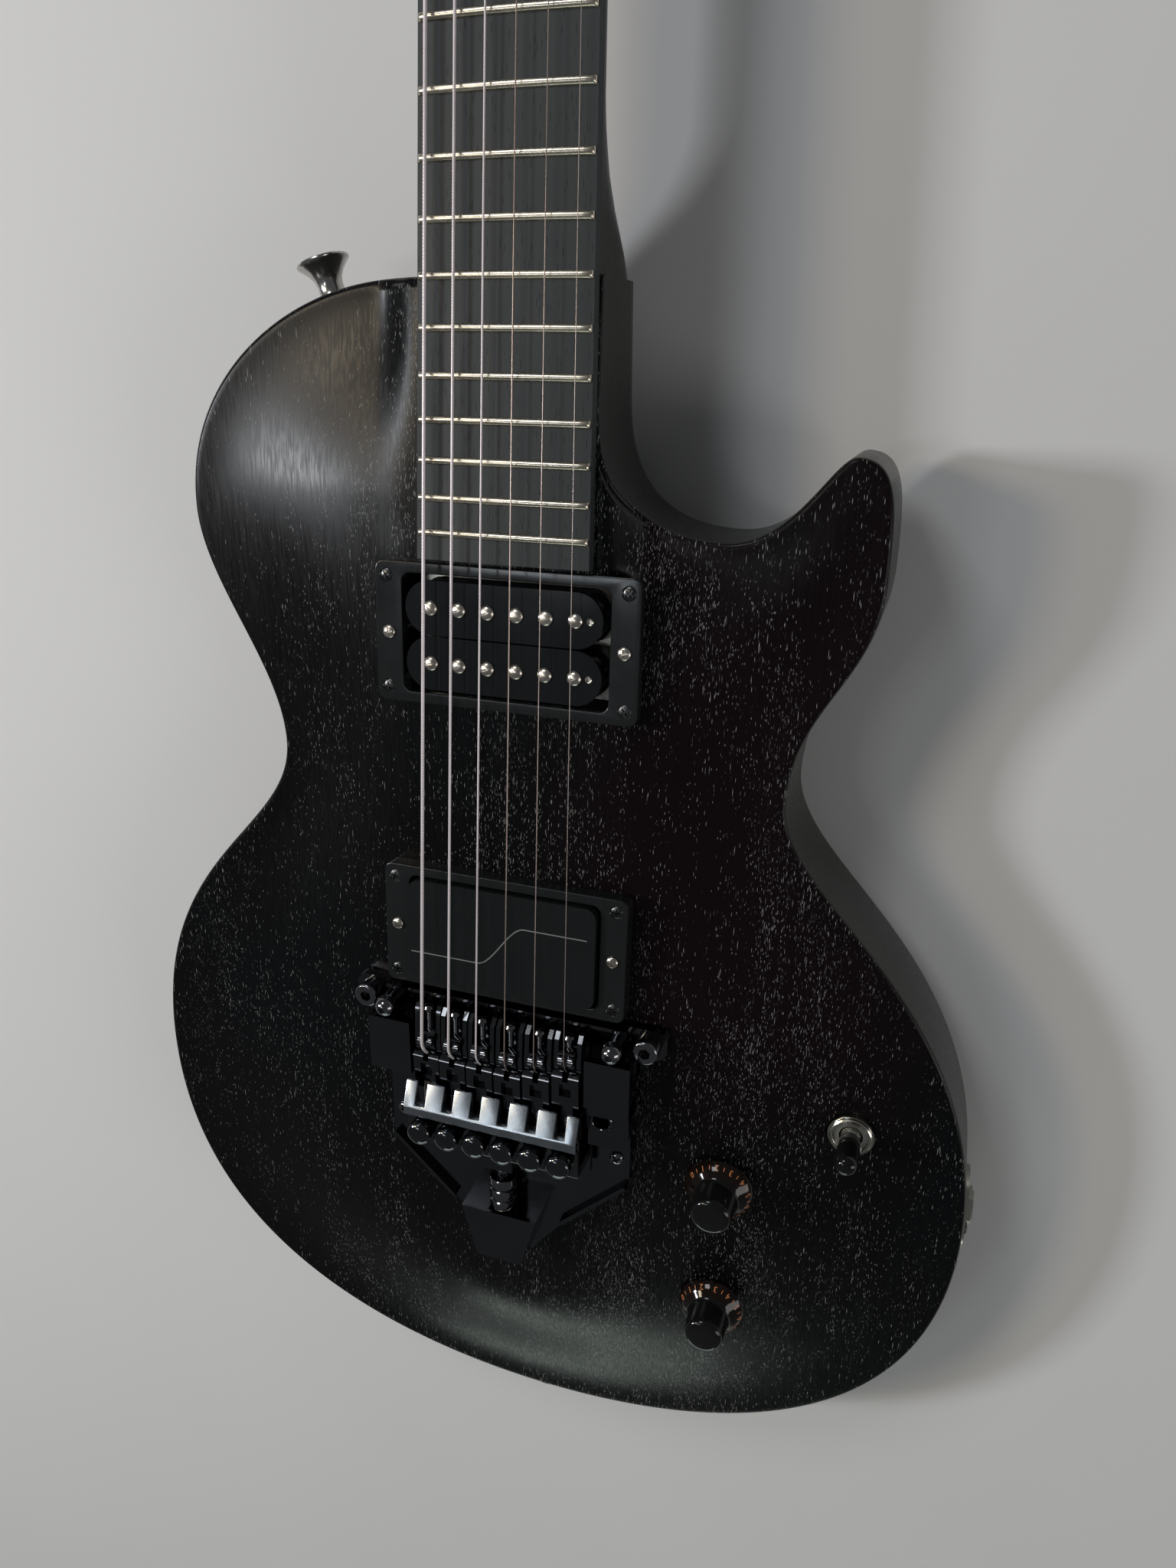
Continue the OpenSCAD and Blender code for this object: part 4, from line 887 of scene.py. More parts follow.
def copies(bm, matrices):
    """The same solid at several places."""
    mesh = bpy.data.meshes.new("copy")
    bm.to_mesh(mesh)
    bm.free()
    out = bmesh.new()
    for matrix in matrices:
        one = bmesh.new()
        one.from_mesh(mesh)
        append(out, placed(one, matrix))
    bpy.data.meshes.remove(mesh)
    return out


def carved(bm, *cutters):
    """A bmesh with the cutters taken out of it, all in millimetres."""
    obj = cut(from_bmesh("blank", bm), cutters)
    out = bmesh.new()
    out.from_mesh(obj.data)
    out.transform(Matrix.Scale(1 / MM, 4))
    bpy.data.objects.remove(obj)
    return out


def bevelled_block(x, y, z, width=0.4, segments=2):
    return bevel_sharp(block(x, y, z), width, segments)


def bar_along_x(profile, low, high, width=0.3):
    """A (y, z) profile run along x."""
    return bevel_sharp(placed(prism(profile, low, high), ALONG_X), width, 2)


def arc(radius, degrees):
    """(radius, z) points of a ball for a lathe."""
    return [(radius * math.cos(a), radius * math.sin(a)) for a in np.radians(degrees)]


def dome_profile(radius, low, high):
    """(radius, z) points of a low dome, short of its tip."""
    return [(radius * math.cos(a), low + high * math.sin(a)) for a in np.linspace(0, QUARTER, 7)[:-1]]


def make(name, bm, matrix=None, angle=35):
    return shade(from_bmesh(name, bm, matrix), angle)


def paint(obj, material, test):
    """Gives a second material to the faces whose centre, in millimetres, passes the test."""
    obj.data.materials.append(material)
    for face in obj.data.polygons:
        if test(*(face.center / MM)):
            face.material_index = 1
    return obj


def bright_edges(obj, test=lambda x, y, z: True, largest=4e-5):
    """Paints the narrow upward bevels, up to this area in square metres, with a painted highlight: the look
    of an edge in light.
    """
    obj.data.materials.append(PAINTED_EDGE_HIGHLIGHT)
    for face in obj.data.polygons:
        if 0.25 < face.normal.z < 0.93 and face.area < largest and test(*(face.center / MM)):
            face.material_index = len(obj.data.materials) - 1
    return obj


def cross_cutter(width, span, low, high):
    return together(block((-span, span), (-width / 2, width / 2), (low, high)),
                    block((-width / 2, width / 2), (width / 2 + 0.001, span), (low, high)),
                    block((-width / 2, width / 2), (-span, -width / 2 - 0.001), (low, high)))


def cross_head(radius, height, shank, depth):
    """A domed screw with a cross recess, its head's underside at z = 0."""
    dome = dome_profile(radius, height * 0.25, height * 0.75)
    head = lathe([(0, -depth - shank), (shank, -depth), (shank, 0), (radius, 0)] + dome + [(0, height)], 28)
    return carved(head, cross_cutter(radius * 0.24, radius * 0.62, height * 0.35, height + 1))


def socket_head(radius, height, shank, depth, key):
    """A cap screw with a hexagon socket, its head's underside at z = 0."""
    head = lathe([(0, -depth - shank), (shank, -depth), (shank, 0), (radius, 0), (radius, height - 0.7),
                  (radius - 0.25, height - 0.25), (radius - 0.7, height), (0, height)], 32)
    return carved(head, prism(circle(key, 6), height * 0.3, height + 1))


def ribbon(points, width, low, high):
    """A flat strip along points."""
    points = np.array(points, float)
    way = unit(np.gradient(points, axis=0))
    side = np.stack([-way[:, 1], way[:, 0]], axis=1) * width / 2
    return prism([tuple(p) for p in points - side] + [tuple(p) for p in (points + side)[::-1]], low, high)


# ---- pickups
SCREW_X, SCREW_Y, HEIGHT_X = 41.0, 18.3, 40.2
COIL_L, COIL_W, COIL_GAP, COIL_LOW, COIL_TOP = 67.0, 17.5, 18.0, -11.0, 1.4
POLE_PITCH = 9.84
EYELET_X = COIL_L / 2 - 4.2
COVER_L, COVER_W, COVER_Z = 69.4, 37.8, 2.2
SEAT = 0.05


def stadium(length, width):
    return rounded_rectangle(length, width, width / 2 - 0.01, 14)


def build_ring(k, name):
    """A pickup ring whose underside follows the carved top."""
    ring = carved(prism(rounded_rectangle(RING_L, RING_W, 3), -12, 0),
                  prism(rounded_rectangle(RING_OPEN_L, RING_OPEN_W, 3), -20, 5))
    bevel_sharp(ring, 0.75, 4, 60)
    sink = lathe([(0, -2.2), (1.2, -2.2), (1.2, -1.2), (2.5, 0.1), (2.5, 1), (0, 1)], 28)
    ring = carved(ring, copies(sink, [move(x * SCREW_X, y * SCREW_Y, 0) for x in (-1, 1) for y in (-1, 1)]))
    ring.transform(IN_RING[k])
    for v in ring.verts:
        if v.co.z < RING_Z[k] - 6:
            v.co.z = float(crest(np.array([v.co.y]))[0]) + SEAT
    return make(name, ring, None, 30)


for k, end in enumerate(("neck", "bridge")):
    piece(build_ring(k, end + "_ring"), "guitar", RING_PLASTIC, "black_plastic", end + "_pickup_ring")


def build_bobbins():
    parts = []
    for side in (-1, 1):
        flange = bevel_sharp(prism(stadium(COIL_L, COIL_W), COIL_TOP - 1.6, COIL_TOP), 0.45, 1, 60)
        holes = [rod(1.6, 20, -20, 5, move((i - 2.5) * POLE_PITCH, 0, 0)) for i in range(6)]
        holes.append(rod(1.15, 16, -20, 5, move(EYELET_X, 0, 0)))
        flange = carved(flange, together(*holes))
        coil = prism(stadium(COIL_L - 2.6, COIL_W - 2.6), COIL_LOW, COIL_TOP - 1.62)
        foot = prism(stadium(COIL_L, COIL_W), COIL_LOW, COIL_LOW + 1.4)
        parts.append(placed(together(flange, coil, foot), move(0, side * COIL_GAP / 2, 0)))
    return make("bobbins", together(*parts), IN_RING[0], 30)


piece(build_bobbins(), "guitar", BOBBIN, "black_plastic", "neck_pickup_bobbins")


def build_poles():
    dome = [(2.45 * math.cos(a), 0.1 + 1.25 * math.sin(a)) for a in np.linspace(0, QUARTER, 8)[:-1]]
    pole = carved(lathe([(0, -16), (1.5, -16), (1.5, 0), (2.45, 0)] + dome + [(0, 1.35)], 32),
                  block((-4, 4), (-0.27, 0.27), (0.8, 3)))
    places = [move((i - 2.5) * POLE_PITCH, side * COIL_GAP / 2, COIL_TOP + SEAT)
              @ turn(RNG.uniform(-35, 35), "Z") for side in (-1, 1) for i in range(6)]
    eyelet = lathe([(0, -6), (1.1, -6), (1.1, 0.1), (0.95, 0.22), (0.7, 0.1), (0.6, -0.6), (0, -0.6)], 20)
    eyes = [move(EYELET_X, side * COIL_GAP / 2, COIL_TOP) for side in (-1, 1)]
    return make("pole_screws", together(copies(pole, places), copies(eyelet, eyes)), IN_RING[0], 40)


piece(build_poles(), "guitar", POLE_METAL, "nickel_silver", "neck_pickup_poles")


def groove_path():
    """The stepped line across the bridge pickup's cover."""
    low, high = np.array([-6.5, -8.8]), np.array([7, 7.2])
    left = [np.array([x, low[1]]) for x in np.linspace(-COVER_L / 2 + 0.6, low[0] - 2, 12)]
    right = [np.array([x, high[1]]) for x in np.linspace(high[0] + 2, COVER_L / 2 - 3, 12)]
    bend = []
    for t in np.linspace(0, 1, 21)[1:-1]:
        x = low[0] - 2 + (high[0] - low[0] + 4) * t
        bend.append(np.array([x, low[1] + (high[1] - low[1]) * float(smoothstep(t))]))
    return left + bend + right


cover = bevel_sharp(prism(rounded_rectangle(COVER_L, COVER_W, 4), COIL_LOW, COVER_Z), 0.8, 1, 60)
piece(make("cover", cover, IN_RING[1], 40), "guitar", COVER_PLASTIC, "black_plastic", "bridge_pickup_cover")
cover_line = make("cover_line", ribbon(groove_path(), 0.42, COVER_Z - 0.1, COVER_Z + 0.03), IN_RING[1], 60)
piece(cover_line, "guitar", PALE_LINE, "black_plastic")



def turned_at(k, x, y, z):
    """A place on a pickup ring for a screw left at some angle."""
    return IN_RING[k] @ move(x, y, z) @ turn(RNG.uniform(0, 90), "Z")


ring_screws = copies(cross_head(2.3, 1.0, 1.2, 12), [
    turned_at(k, x * SCREW_X, y * SCREW_Y, -0.75) for k in (0, 1) for x in (-1, 1) for y in (-1, 1)])
height_screws = copies(cross_head(2.2, 1.25, 1.2, 14), [
    turned_at(k, x * HEIGHT_X, 0, SEAT) for k in (0, 1) for x in (-1, 1)])
piece(make("height_screw_heads", height_screws), "guitar", POLE_METAL, "screw_steel", "height_screws")


# ---- tremolo, fixed frame
FRAME_HALF = [(56, 12), (58.6, 11.2), (60, 9), (60, 4), (58.8, 1.6), (56, 0), (50, -6), (48, -14), (48, -55),
              (23, -81), (9.5, -98)]
NOSE_HALF = [(15, -75), (9, -97)]
NOSE_TOP = FRAME_TOP + 11
FRAME_SCREW = (43.0, -45.0)


def mirrored(points):
    """A closed outline from its right half, listed from the top down."""
    return [(-x, y) for x, y in points] + list(points[::-1])


def build_frame():
    plate = bevel_sharp(prism(mirrored(FRAME_HALF), FRAME_Z, FRAME_TOP), 0.7, 3, 12)
    lip = bevelled_block((-46, 46), (10.6, 12), (FRAME_TOP - 0.6, FRAME_TOP + 3.6), 0.35)
    nose = bevel_sharp(prism(mirrored(NOSE_HALF), FRAME_TOP - 0.5, NOSE_TOP), 0.6, 3, 12)
    nose = carved(nose, block((-4.6, 4.6), (-94, -60), (FRAME_TOP - 2, FRAME_TOP + 9.7)),
                  rod(3.1, 24, 0, 30, move(0, -90, ROD_Z) @ turn(90, "X")))
    brows = []
    for side in (-1, 1):
        brow = bevelled_block((0, 34.5), (-0.8, 0.8), (FRAME_TOP - 0.5, FRAME_TOP + 2.6), 0.35)
        brows.append(placed(brow, move(side * 47, -56.2, 0) @ turn(-90 - side * 46.2, "Z")))
    return make("trem_frame", together(plate, lip, nose, *brows), None, 28)


# The frame's narrow upward bevels are painted bright: a painted highlight.
bright_edges(piece(build_frame(), "guitar", BLACK_CHROME, "black_chrome", "tremolo_frame"))


def build_bolts():
    dome = lathe([(0, -20), (2.5, -20), (2.5, -3)] + arc(3.9, range(-50, 86, 15)) + [(0, 3.9)], 36)
    dome = carved(dome, prism(circle(1.3, 6), 2.4, 6))
    ears = copies(socket_head(4.6, 6.3, 3, 22, 2.2),
                  [move(s * BOLT_X, PIVOT_Y - 0.5, FRAME_TOP + SEAT) @ turn(17 * s, "Z") for s in (-1, 1)])
    domes = copies(dome, [move(s * PIVOT_X, PIVOT_Y, COVER_TOP - 1) for s in (-1, 1)])
    screws = copies(cross_head(2.6, 1.6, 1.6, 0.6),
                    [move(s * FRAME_SCREW[0], FRAME_SCREW[1], FRAME_TOP + SEAT) @ turn(30, "Z")
                     for s in (-1, 1)])
    return make("trem_bolts", together(ears, domes, screws), None, 35)


piece(build_bolts(), "guitar", CHROME, "black_chrome", "tremolo_bolts")


# ---- tremolo, moving parts
COVER_FROM, COVER_TO, WING_TO = 33.5, 50.0, 49.2
PLATE_FRONT = PIVOT_Y - 2.8
BAR_HALF = 33.4
COMB_Z = PLATE_TOP + 8.6
RIDGE_Z = PLATE_TOP + 13.4
SADDLE_BACK = -24.0
LOCK_Z = PLATE_TOP + 4.2
ARM_AT = (40.0, -22.0)
POLISHED_Z = 68.2
BAR_PROFILE = [(-19.5, COMB_Z), (-19.5, COMB_Z + 1), (-28.5, RIDGE_Z), (-31.8, RIDGE_Z), (-33, COMB_Z + 2.4),
               (-45, COMB_Z + 1.6), (-46, PLATE_TOP - 1), (-41.5, PLATE_TOP - 1), (-41.5, COMB_Z)]


def build_plate():
    base = bevelled_block((-COVER_FROM - 1, COVER_FROM + 1), (-50, PLATE_FRONT), (PLATE_LOW, PLATE_TOP))
    parts = [base]
    for low, high in ((-COVER_TO, -COVER_FROM), (COVER_FROM, COVER_TO)):
        parts.append(bevelled_block((low, high), (-19.9, 2.1), (PLATE_LOW, COVER_TOP - 0.02), 0.45, 3))
        wing = (max(low, -WING_TO), min(high, WING_TO))
        parts.append(bevelled_block(wing, (-20, PLATE_FRONT), (PLATE_LOW, PLATE_TOP)))
    lug_outline = [(COVER_FROM, -14), (COVER_FROM, -26), (COVER_FROM + 1.6, -26), (COVER_FROM + 1.6, -33),
                   (COVER_TO - 4, -33), (COVER_TO, -28), (COVER_TO, -14)]
    at_arm = move(*ARM_AT, COVER_TOP - 0.8)
    lug = bevel_sharp(prism(lug_outline, PLATE_LOW, COVER_TOP - 0.8), 0.5, 3)
    parts.append(carved(lug, rod(3.05, 36, -9, 1, at_arm)))
    collar = lathe([(3.05, -0.6), (3.05, 0.5), (3.25, 0.7), (3.9, 0.7), (4.2, 0.35), (4.2, -0.6)], 40)
    parts.append(placed(collar, at_arm))
    bar = placed(prism(BAR_PROFILE, -BAR_HALF, BAR_HALF), ALONG_X)
    slots = [block((saddle_x(i) - 2, saddle_x(i) + 2), (-27.5, -15), (PLATE_TOP, RIDGE_Z + 5))
             for i in range(6)]
    stems = [rod(2.1, 24, PLATE_TOP + 1, RIDGE_Z + 5, move(saddle_x(i), FINE_Y, 0)) for i in range(6)]
    parts.append(bevel_sharp(carved(bar, together(*slots), together(*stems)), 0.35, 2, 30))
    parts.append(bevelled_block((-5, 5), (-56.4, -44.4), (PLATE_LOW, PLATE_LOW + 6)))
    return make("trem_plate", together(*parts), None, 18)


plate = piece(build_plate(), "tremolo", BLACK_CHROME, "black_chrome", "tremolo_plate")
# The comb's upper faces are painted pale bluish metal: a painted reflection of the light above.
paint(plate, COMB_PAINTED_REFLECTION, lambda x, y, z: abs(x) < BAR_HALF and -33 < y < -19 and z > COMB_Z)
# The covers' narrow upward bevels are painted bright: a painted highlight.
bright_edges(plate, lambda x, y, z: abs(x) > COVER_FROM and y > -19.5)


def build_saddle(i):
    """One saddle: a rear block with a window, the crest the string lies on, and two front arms."""
    crest_z = FRET_PLANE_H + saddle_z(i) - STRING_R[i] - 0.45
    back, base = SADDLE_BACK - SADDLE_SHIFT[i], PLATE_TOP + SEAT
    rear = bar_along_x([(back, base), (back, crest_z - 1.5), (-7.4, crest_z - 0.9), (-6.2, crest_z - 2.2),
                        (-5.4, crest_z - 5), (-5.4, base)], -5.0, 5.0, 0.35)
    rear = carved(rear, block((-2.2, 2.2), (-15.2, -10.2), (crest_z - 3.2, crest_z + 2)),
                  block((-1.1, 1.1), (-9, -3), (crest_z - 6.2, crest_z + 2)),
                  rod(2.3, 20, -1, 4, move(0, back, LOCK_Z) @ turn(-90, "X")))
    waist = bar_along_x([(-5.6, base), (-5.6, crest_z - 3.4), (-2.2, crest_z - 2), (1.4, crest_z - 2.4),
                         (3, base + 2), (3, base)], -3.0, 3.0, 0.3)
    parts = [rear, waist]
    for low, high in ((-2.9, -0.75), (0.75, 2.9)):
        drum = lathe([(0, low), (1.45, low), (1.75, low + 0.35),
                      (1.75, high - 0.35), (1.45, high), (0, high)], 28)
        parts.append(placed(drum, move(0, -0.5, crest_z - 1.75) @ turn(90, "Y")))
    front = 9.3 - SADDLE_SHIFT[i]
    for side in (-1, 1):
        arm = bar_along_x([(-5.6, base), (-5.6, crest_z - 3.6), (-1.5, crest_z - 3.2),
                           (front - 2.2, crest_z - 4.2), (front, base + 1.8), (front, base - 0.6),
                           (front - 2, base - 0.6), (front - 5, base)], -0.8, 0.8, 0.3)
        parts.append(placed(arm, move(side * 4.2, 0, 0)))
    profile = [(0, 2.5)]
    for y in np.arange(2.5, front - 2.4, 0.9):
        profile += [(0.85, y), (1.2, y + 0.45)]
    profile += [(0.85, front - 2.4), (1.9, front - 2.2), (2.05, front - 1.2), (1.6, front - 0.3), (0, front)]
    screw = placed(lathe(profile, 20), move(0, 0, crest_z - 5.6) @ turn(-90, "X"))
    parts.append(screw)
    return placed(together(*parts), move(saddle_x(i), SADDLE_SHIFT[i], 0))


saddles = make("saddle_blocks", together(*[build_saddle(i) for i in range(6)]), None, 30)
piece(saddles, "tremolo", BLACK_CHROME, "black_chrome", "saddles")


def is_crest(x, y, z):
    """The polished crest of a saddle, and its intonation screw."""
    i = int(np.argmin([abs(x - saddle_x(k)) for k in range(6)]))
    away = y - SADDLE_SHIFT[i]
    return (-2.4 < away < 1.5 and z > POLISHED_Z) or (away > 2.4 and abs(x - saddle_x(i)) < 2.1)


paint(saddles, CHROME, is_crest)

lock_screw = carved(lathe([(0, 0), (2.2, 0), (2.2, 14), (2.5, 14.1), (2.5, 18.7), (2.2, 19), (0, 19)], 24),
                    prism(circle(1.3, 6), 16.5, 20))
at_locks = [move(saddle_x(i), SADDLE_BACK + 3, LOCK_Z) @ turn(90, "X") for i in range(6)]
lock_screws = make("lock_screws", copies(lock_screw, at_locks))
piece(lock_screws, "tremolo", AGED_STEEL, "screw_steel", "string_lock_screws")


def build_fine_tuner(i):
    head_low, top = COMB_Z + 3.2, PLATE_TOP + 15.4
    profile = [(0, LOCK_Z + 2.8), (2, LOCK_Z + 2.8), (2, head_low), (4.2, head_low), (4.6, head_low + 0.4)]
    profile += [(r, top + rise) for r, rise in (
        (4.6, -0.9), (4.45, -0.35), (4.05, 0.05), (3.2, 0.5), (2, 0.85), (1, 0.97), (0, 1))]
    return make(f"fine_tuner_head_{i + 1}", lathe(profile, 48), move(saddle_x(i), FINE_Y, 0), 40)


for i in range(6):
    name = f"fine_tuner_{i + 1}"
    piece(build_fine_tuner(i), name, BLACK_CHROME, "black_chrome", name)


def build_tension_knob():
    """A wheel with two grooves on a long rod, drawn from its front end."""
    front = 57.2
    profile = [(0, 57.2), (2.3, 57.2), (2.6, 57.5), (2.6, 60.2), (4.9, 60.5), (5.2, 60.8)]
    groove = [(5.2, 2.6), (4.9, 3.0), (4.4, 3.3), (4.4, 4.6), (4.9, 4.9), (5.2, 5.2)]
    for k in range(3):
        a = front + 3.4 + 5 * k
        profile += [(r, a + along) for r, along in (groove if k < 2 else groove[:2])]
    profile += [(3, front + 16.6), (3, 95.6), (2.6, 96), (0, 96)]
    return make("tension_wheel", lathe(profile, 56), move(0, 0, ROD_Z) @ turn(90, "X"), 30)


piece(build_tension_knob(), "tension_knob", CHROME, "black_chrome", "tension_knob")


def build_spring():
    turns, radius, wire, start, length = 7, 3.65, 0.33, 74.8, 18.3
    points = []
    for s in range(turns * 20 + 1):
        a = 2 * math.pi * s / 20
        along = -start - length * s / (turns * 20)
        points.append(Vector((radius * math.cos(a), along, ROD_Z + radius * math.sin(a))))
    return make("spring_coil", sweep(points, wire, 8), None, 60)


piece(build_spring(), "guitar", NICKEL, "screw_steel", "tension_spring")


# ---- knobs, switch and jack
def knob_base(knob):
    """Height of the knob's underside, clear of the carve all round."""
    return float(top_z(circle(KNOB_R, 12, knob)).max()) + 0.6


CAP_R, SHAFT_R = 7.6, 3.0
SKIRT_H, SKIRT_SLOPE = 4.9, math.degrees(math.atan2(2.7, 2.35))
DIGIT_SIZE, DIGIT_STEP = 3.0, 27.5


def flat_text(text, size):
    """Plain digits as a mesh, centred on the origin, in millimetres."""
    curve = bpy.data.curves.new("digits", "FONT")
    curve.body, curve.size, curve.align_x, curve.align_y = text, size, "CENTER", "CENTER"
    curve.extrude, curve.resolution_u = 0.05, 3
    obj = new_object("digits", curve)
    mesh = evaluated_mesh(obj)
    bm = bmesh.new()
    bm.from_mesh(mesh)
    bpy.data.objects.remove(obj)
    bpy.data.meshes.remove(mesh)
    return bm


def build_knob(name, knob, turned):
    """A knob and its shaft, with the dial's digits as a second piece."""
    z, h = knob_base(knob), KNOB_H
    profile = [(SHAFT_R + 0.02, 0), (KNOB_R - 0.4, 0), (KNOB_R, 0.5), (KNOB_R - 0.25, 1.1),
               (KNOB_R - 2.6, 3.8), (CAP_R + 0.9, 4.7), (CAP_R + 0.2, 5.6), (CAP_R, 6.4),
               (CAP_R - 0.35, h - 1.7), (CAP_R - 0.8, h - 0.8), (CAP_R - 1.6, h - 0.25), (CAP_R - 2.6, h),
               (1.5, h - 0.12), (0, h - 0.12)]
    shaft = lathe([(0, CEILING_Z - 5 - z), (SHAFT_R, CEILING_Z - 5 - z), (SHAFT_R, h - 3), (0, h - 3)], 24)
    body = make(name, together(lathe(profile, 96), shaft), move(*knob, z), 30)
    piece(body, name, GLOSS_BLACK, "black_plastic", name)
    paint(body, SKIRT, lambda x, y, height: height - z < SKIRT_H and math.dist((x, y), knob) > CAP_R)
    on_skirt = move(0, KNOB_R - 1.42, 2.46) @ turn(180 - SKIRT_SLOPE, "X")
    digits = []
    for k in range(11):
        a = turned + DIGIT_STEP * k
        at_digit = turn(-a, "Z") @ on_skirt @ turn(180, "Y")
        digits.append(placed(flat_text(str(k), DIGIT_SIZE), at_digit))
        tick = block((-0.13, 0.13), (-0.7, 0.7), (-0.05, 0.05))
        digits.append(placed(tick, turn(-a - DIGIT_STEP / 2, "Z") @ on_skirt))
    piece(make(name + "_digits", together(*digits), move(*knob, z), 60), name, AMBER, "black_plastic")


build_knob("volume_knob", KNOBS[0], -60)
build_knob("tone_knob", KNOBS[1], -75)


TEETH = 144


def build_switch_nut():
    """The knurled ring under the switch, with its raised collar."""
    teeth = [inner if k % 2 == 0 else outer
             for k, (inner, outer) in enumerate(zip(circle(7.8, TEETH), circle(8.1, TEETH)))]
    ring = carved(bevel_sharp(prism(teeth, 0, 2), 0.12, 1, 60), rod(6.06, 48, -1, 5))
    collar = lathe([(6.06, 1.4), (6.06, 3.0), (6.3, 3.3), (6.9, 3.3), (7.4, 2.9), (7.6, 2.0), (7.6, 1.4)], 64)
    return make("switch_ring", together(ring, collar), move(*SWITCH, SWITCH_NUT_Z), 30)


piece(build_switch_nut(), "guitar", NICKEL, "nickel_silver", "switch_nut")

lever = lathe([(0, -12), (1.4, -12), (1.6, -3.3)] + arc(3.8, range(-60, 50, 8)) + [
    (2.45, 3.3), (3.3, 3.7), (3.6, 4.4), (4.0, 11), (4.0, 15.4), (3.8, 17.2), (3.1, 18.6), (1.8, 19.4),
    (0, 19.6)], 48)
lever = make("switch_tip", lever, move(*SWITCH, SWITCH_TOP), 50)
piece(lever, "switch_lever", GLOSS_BLACK, "tip_plastic", "switch_lever")
paint(lever, NICKEL, lambda x, y, z: z - SWITCH_TOP < 3.2)

jack_screws = copies(cross_head(2.2, 1.0, 1.2, 9), [AT_JACK @ move(s * 11.5, 0, 1.65) for s in (-1, 1)])
washer = carved(bevel_sharp(rod(15, 64, SEAT, 1.6), 0.4, 3, 60), rod(6.1, 40, -1, 5))
hex_nut = carved(bevel_sharp(rod(7.6, 6, 1.66, 3.4), 0.4, 2), rod(6.06, 40, -1, 5))
jack_washer = make("jack_washer", together(washer, hex_nut), AT_JACK, 30)
piece(jack_washer, "guitar", NICKEL, "nickel_silver", "jack_plate")


# ---- strap buttons and back
def build_strap_button():
    cup = lathe([(0, 0), (6, 0), (5.9, 0.5), (4.9, 1.9), (4.3, 3.4), (4.2, 6), (4.7, 8), (5.9, 10),
                 (7.7, 11.9), (8.6, 12.7), (8.8, 13.2), (8.6, 13.7), (8.1, 14), (5.2, 14), (3.9, 13.2),
                 (3.6, 12.1), (0, 12.1)], 64)
    return together(cup, placed(cross_head(3.3, 1.5, 1.8, 32), move(0, 0, 12.1)))


at_straps = [move(-72, 242, 20) @ turn(108, "Z") @ turn(90, "Y") @ move(0, 0, 0.6),
             move(4, -TAIL_LEN, 20) @ turn(90, "X") @ move(0, 0, 0.3)]
straps = make("strap_posts", copies(build_strap_button(), at_straps), None, 30)
piece(straps, "guitar", STRAP_STEEL, "nickel_silver", "strap_buttons")

COVER_SCREWS = [grown(CAVITY, 3.2)[k] for k in (0, 1, 3, 6)]
back_screws = copies(cross_head(1.9, 0.5, 1.2, 8),
                     [move(x, y, 0.6) @ turn(180, "X") for x, y in COVER_SCREWS])
back_plate = bevel_sharp(prism(grown(CAVITY, 6), 0.3, 2.3), 0.4, 3)
back_plate = carved(back_plate, copies(rod(2.0, 20, -1, 1.0), [move(x, y, 0) for x, y in COVER_SCREWS]))
piece(make("back_plate", back_plate), "guitar", BLACK_PLASTIC, "black_plastic", "cavity_cover")
wood_screws = make("wood_screw_heads", together(ring_screws, back_screws, jack_screws))
piece(wood_screws, "guitar", DARK_SCREW, "screw_steel", "wood_screws")


# ---- nut and headstock
CLAMP_LOW, CLAMP_T = 1.65, 4.5
AT_CLAMPS = [move(k * NUT_PITCH, SCALE_LEN + NUT_LEN / 2, 0) for k in (-2, 0, 2)]
nut = bevelled_block((-NUT_W / 2, NUT_W / 2), (SCALE_LEN + SEAT, SCALE_LEN + NUT_LEN),
                     (-BOARD_SEAT + SEAT, 0.2), 0.5, 3)
piece(make("lock_nut_base", nut, IN_NECK), "guitar", BLACK_CHROME, "black_chrome", "locking_nut")
CLAMP_TOP = CLAMP_LOW + CLAMP_T
clamp = bevelled_block((-6, 6), (-6.5, 6.5), (CLAMP_LOW, CLAMP_TOP), 0.6, 3)
cap_screw = placed(socket_head(3.5, 3, 2, CLAMP_TOP + 8, 1.5), move(0, 0, CLAMP_TOP + SEAT))
clamps = copies(together(clamp, cap_screw), AT_CLAMPS)
piece(make("lock_nut_clamps", clamps, IN_NECK), "guitar", BLACK_CHROME, "black_chrome", "nut_clamps")

BAR_Z = RETAINER_Z + STRING_R[5] + 2.7
bar = lathe([(0, -25), (2.2, -25), (2.5, -24.6), (2.5, 24.6), (2.2, 25), (0, 25)], 32)
bar = placed(bar, move(0, RETAINER_Y, BAR_Z) @ turn(90, "Y"))
bar_screws = copies(cross_head(2.6, 1.6, 1.5, BAR_Z + 8.5),
                    [move(s * 22, RETAINER_Y, BAR_Z + 2.55) for s in (-1, 1)])
retainer = make("retainer_bar", together(bar, bar_screws), IN_HEAD)
piece(retainer, "guitar", BLACK_CHROME, "black_chrome", "string_retainer")

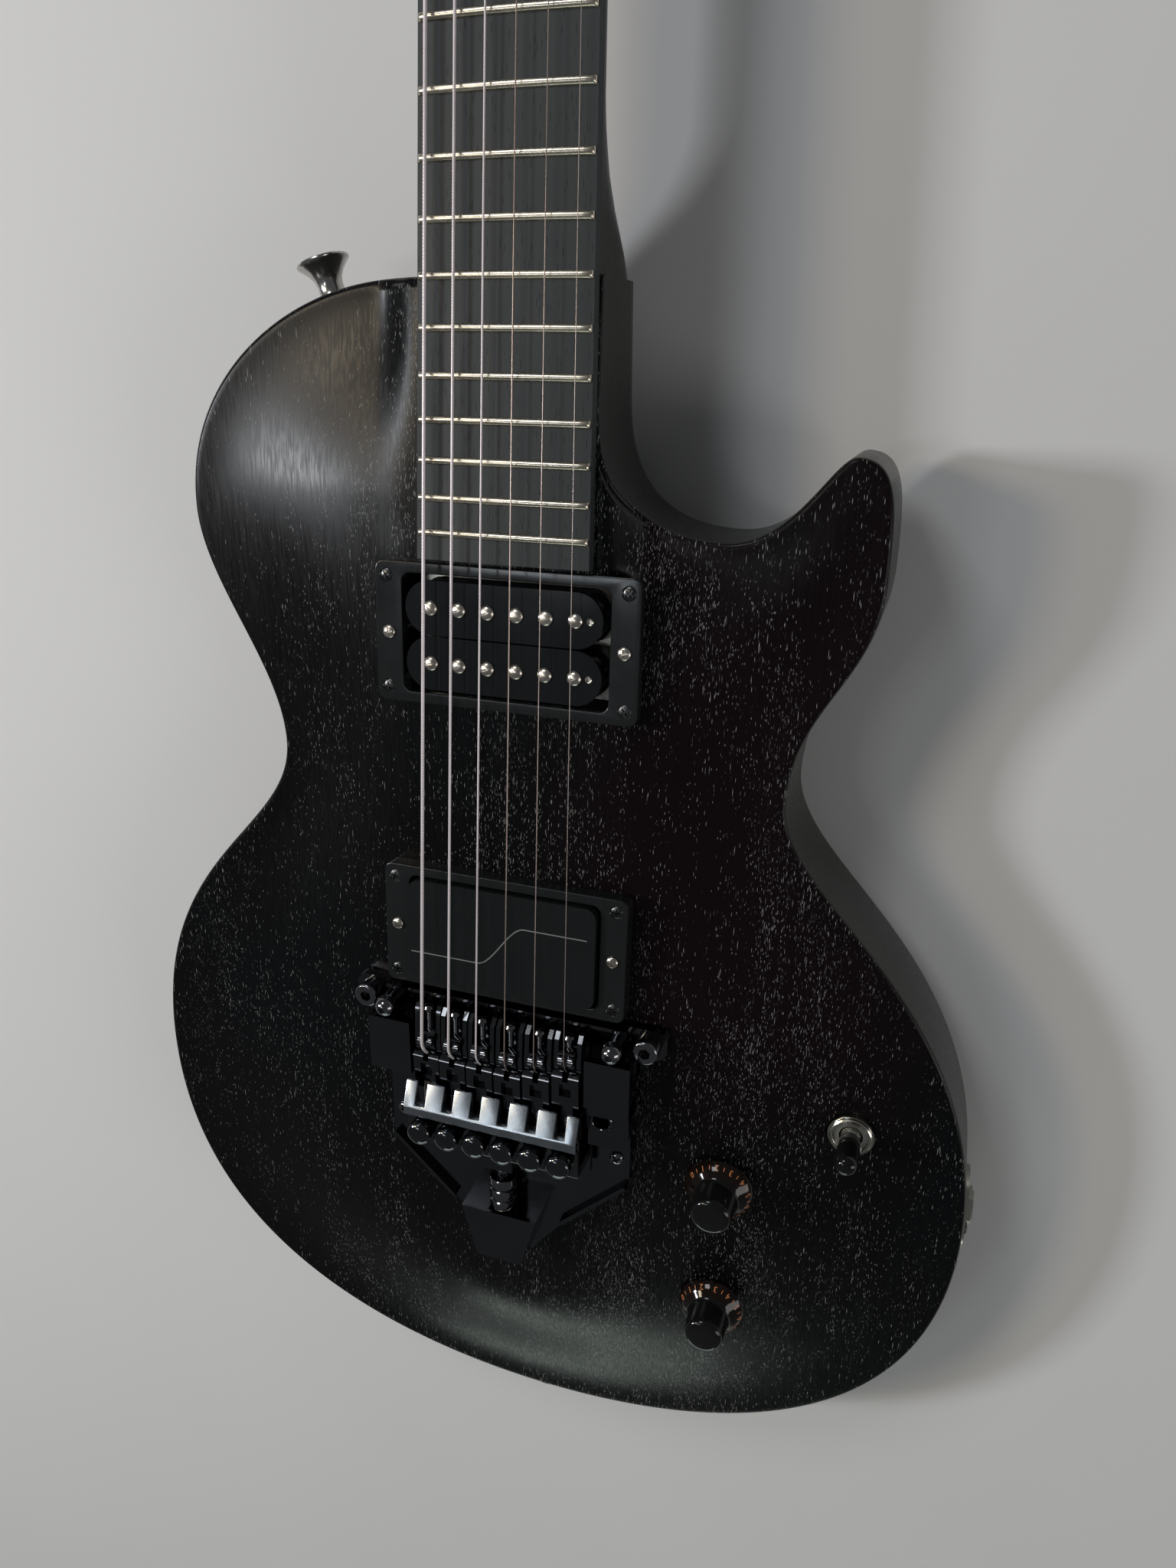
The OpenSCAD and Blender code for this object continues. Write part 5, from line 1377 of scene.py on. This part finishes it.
housing = bevelled_block((-8.5, 8.5), (-9.5, 9.5), (-HEAD_T - SEAT - 13, -HEAD_T - SEAT), 1.6, 4)
places = [tuner_place(i)[0] for i in range(6)]
housings = make("tuner_cases", copies(housing, places), None, 30)
piece(housings, "guitar", BLACK_CHROME, "black_chrome", "tuner_housings")
bushing = lathe([(3.16, -9), (4.9, -9), (4.9, SEAT), (7, SEAT), (7, 1.5), (6.4, 2.25), (3.6, 2.25),
                 (3.16, 1.9), (3.16, -9)], 40)
bushings = make("tuner_washers", copies(bushing, places))
piece(bushings, "guitar", BLACK_CHROME, "black_chrome", "tuner_bushings")


def build_tuner_post():
    return lathe([(0, -HEAD_T - 4.6), (POST_R, -HEAD_T - 4.6), (POST_R, 6.6), (POST_R - 0.6, 7.6),
                  (POST_R - 0.6, 10.4), (POST_R, 11.4), (POST_R, 15.4), (POST_R - 0.35, 16.1),
                  (POST_R - 0.9, 16.4), (0, 16.4)], 36)


def build_tuner_button():
    stem = lathe([(0, 5), (2, 5), (2, 15), (3.2, 15.1), (3.4, 17.4), (4.1, 19), (0, 19)], 28)
    grip = bevel_sharp(prism(stadium(20, 17), -3.6, 3.6), 1.5, 4, 60)
    return together(stem, placed(grip, move(0, 0, 27) @ turn(90, "Z") @ turn(90, "X")))


for i in range(6):
    place, side = tuner_place(i)
    k = i + 1
    post = carved(build_tuner_post(), rod(0.9, 16, -5, 5, move(0, 0, 9) @ turn(90, "Y")))
    shaft = place @ move(0, 0, -HEAD_T - 6.5) @ turn(90 * side, "Y")
    for obj, node in ((make(f"string_post_{k}", post, place), f"tuner_post_{k}"),
                      (make(f"tuner_key_{k}", build_tuner_button(), shaft), f"tuner_button_{k}")):
        piece(obj, node, BLACK_CHROME, "black_chrome", node)


# ---- CAD nodes that stay as they are
KEPT = {
    "fretboard": BOARD, "truss_rod": CAD_STEEL, "potentiometers": CAD_STEEL, "switch_body": CAD_STEEL,
    "output_jack": CAD_STEEL, "pickup_baseplates": NICKEL, "battery": BATTERY,
}
for name, finish in KEPT.items():
    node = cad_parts[name]
    node.data.materials.clear()
    node.data.materials.append(finish)
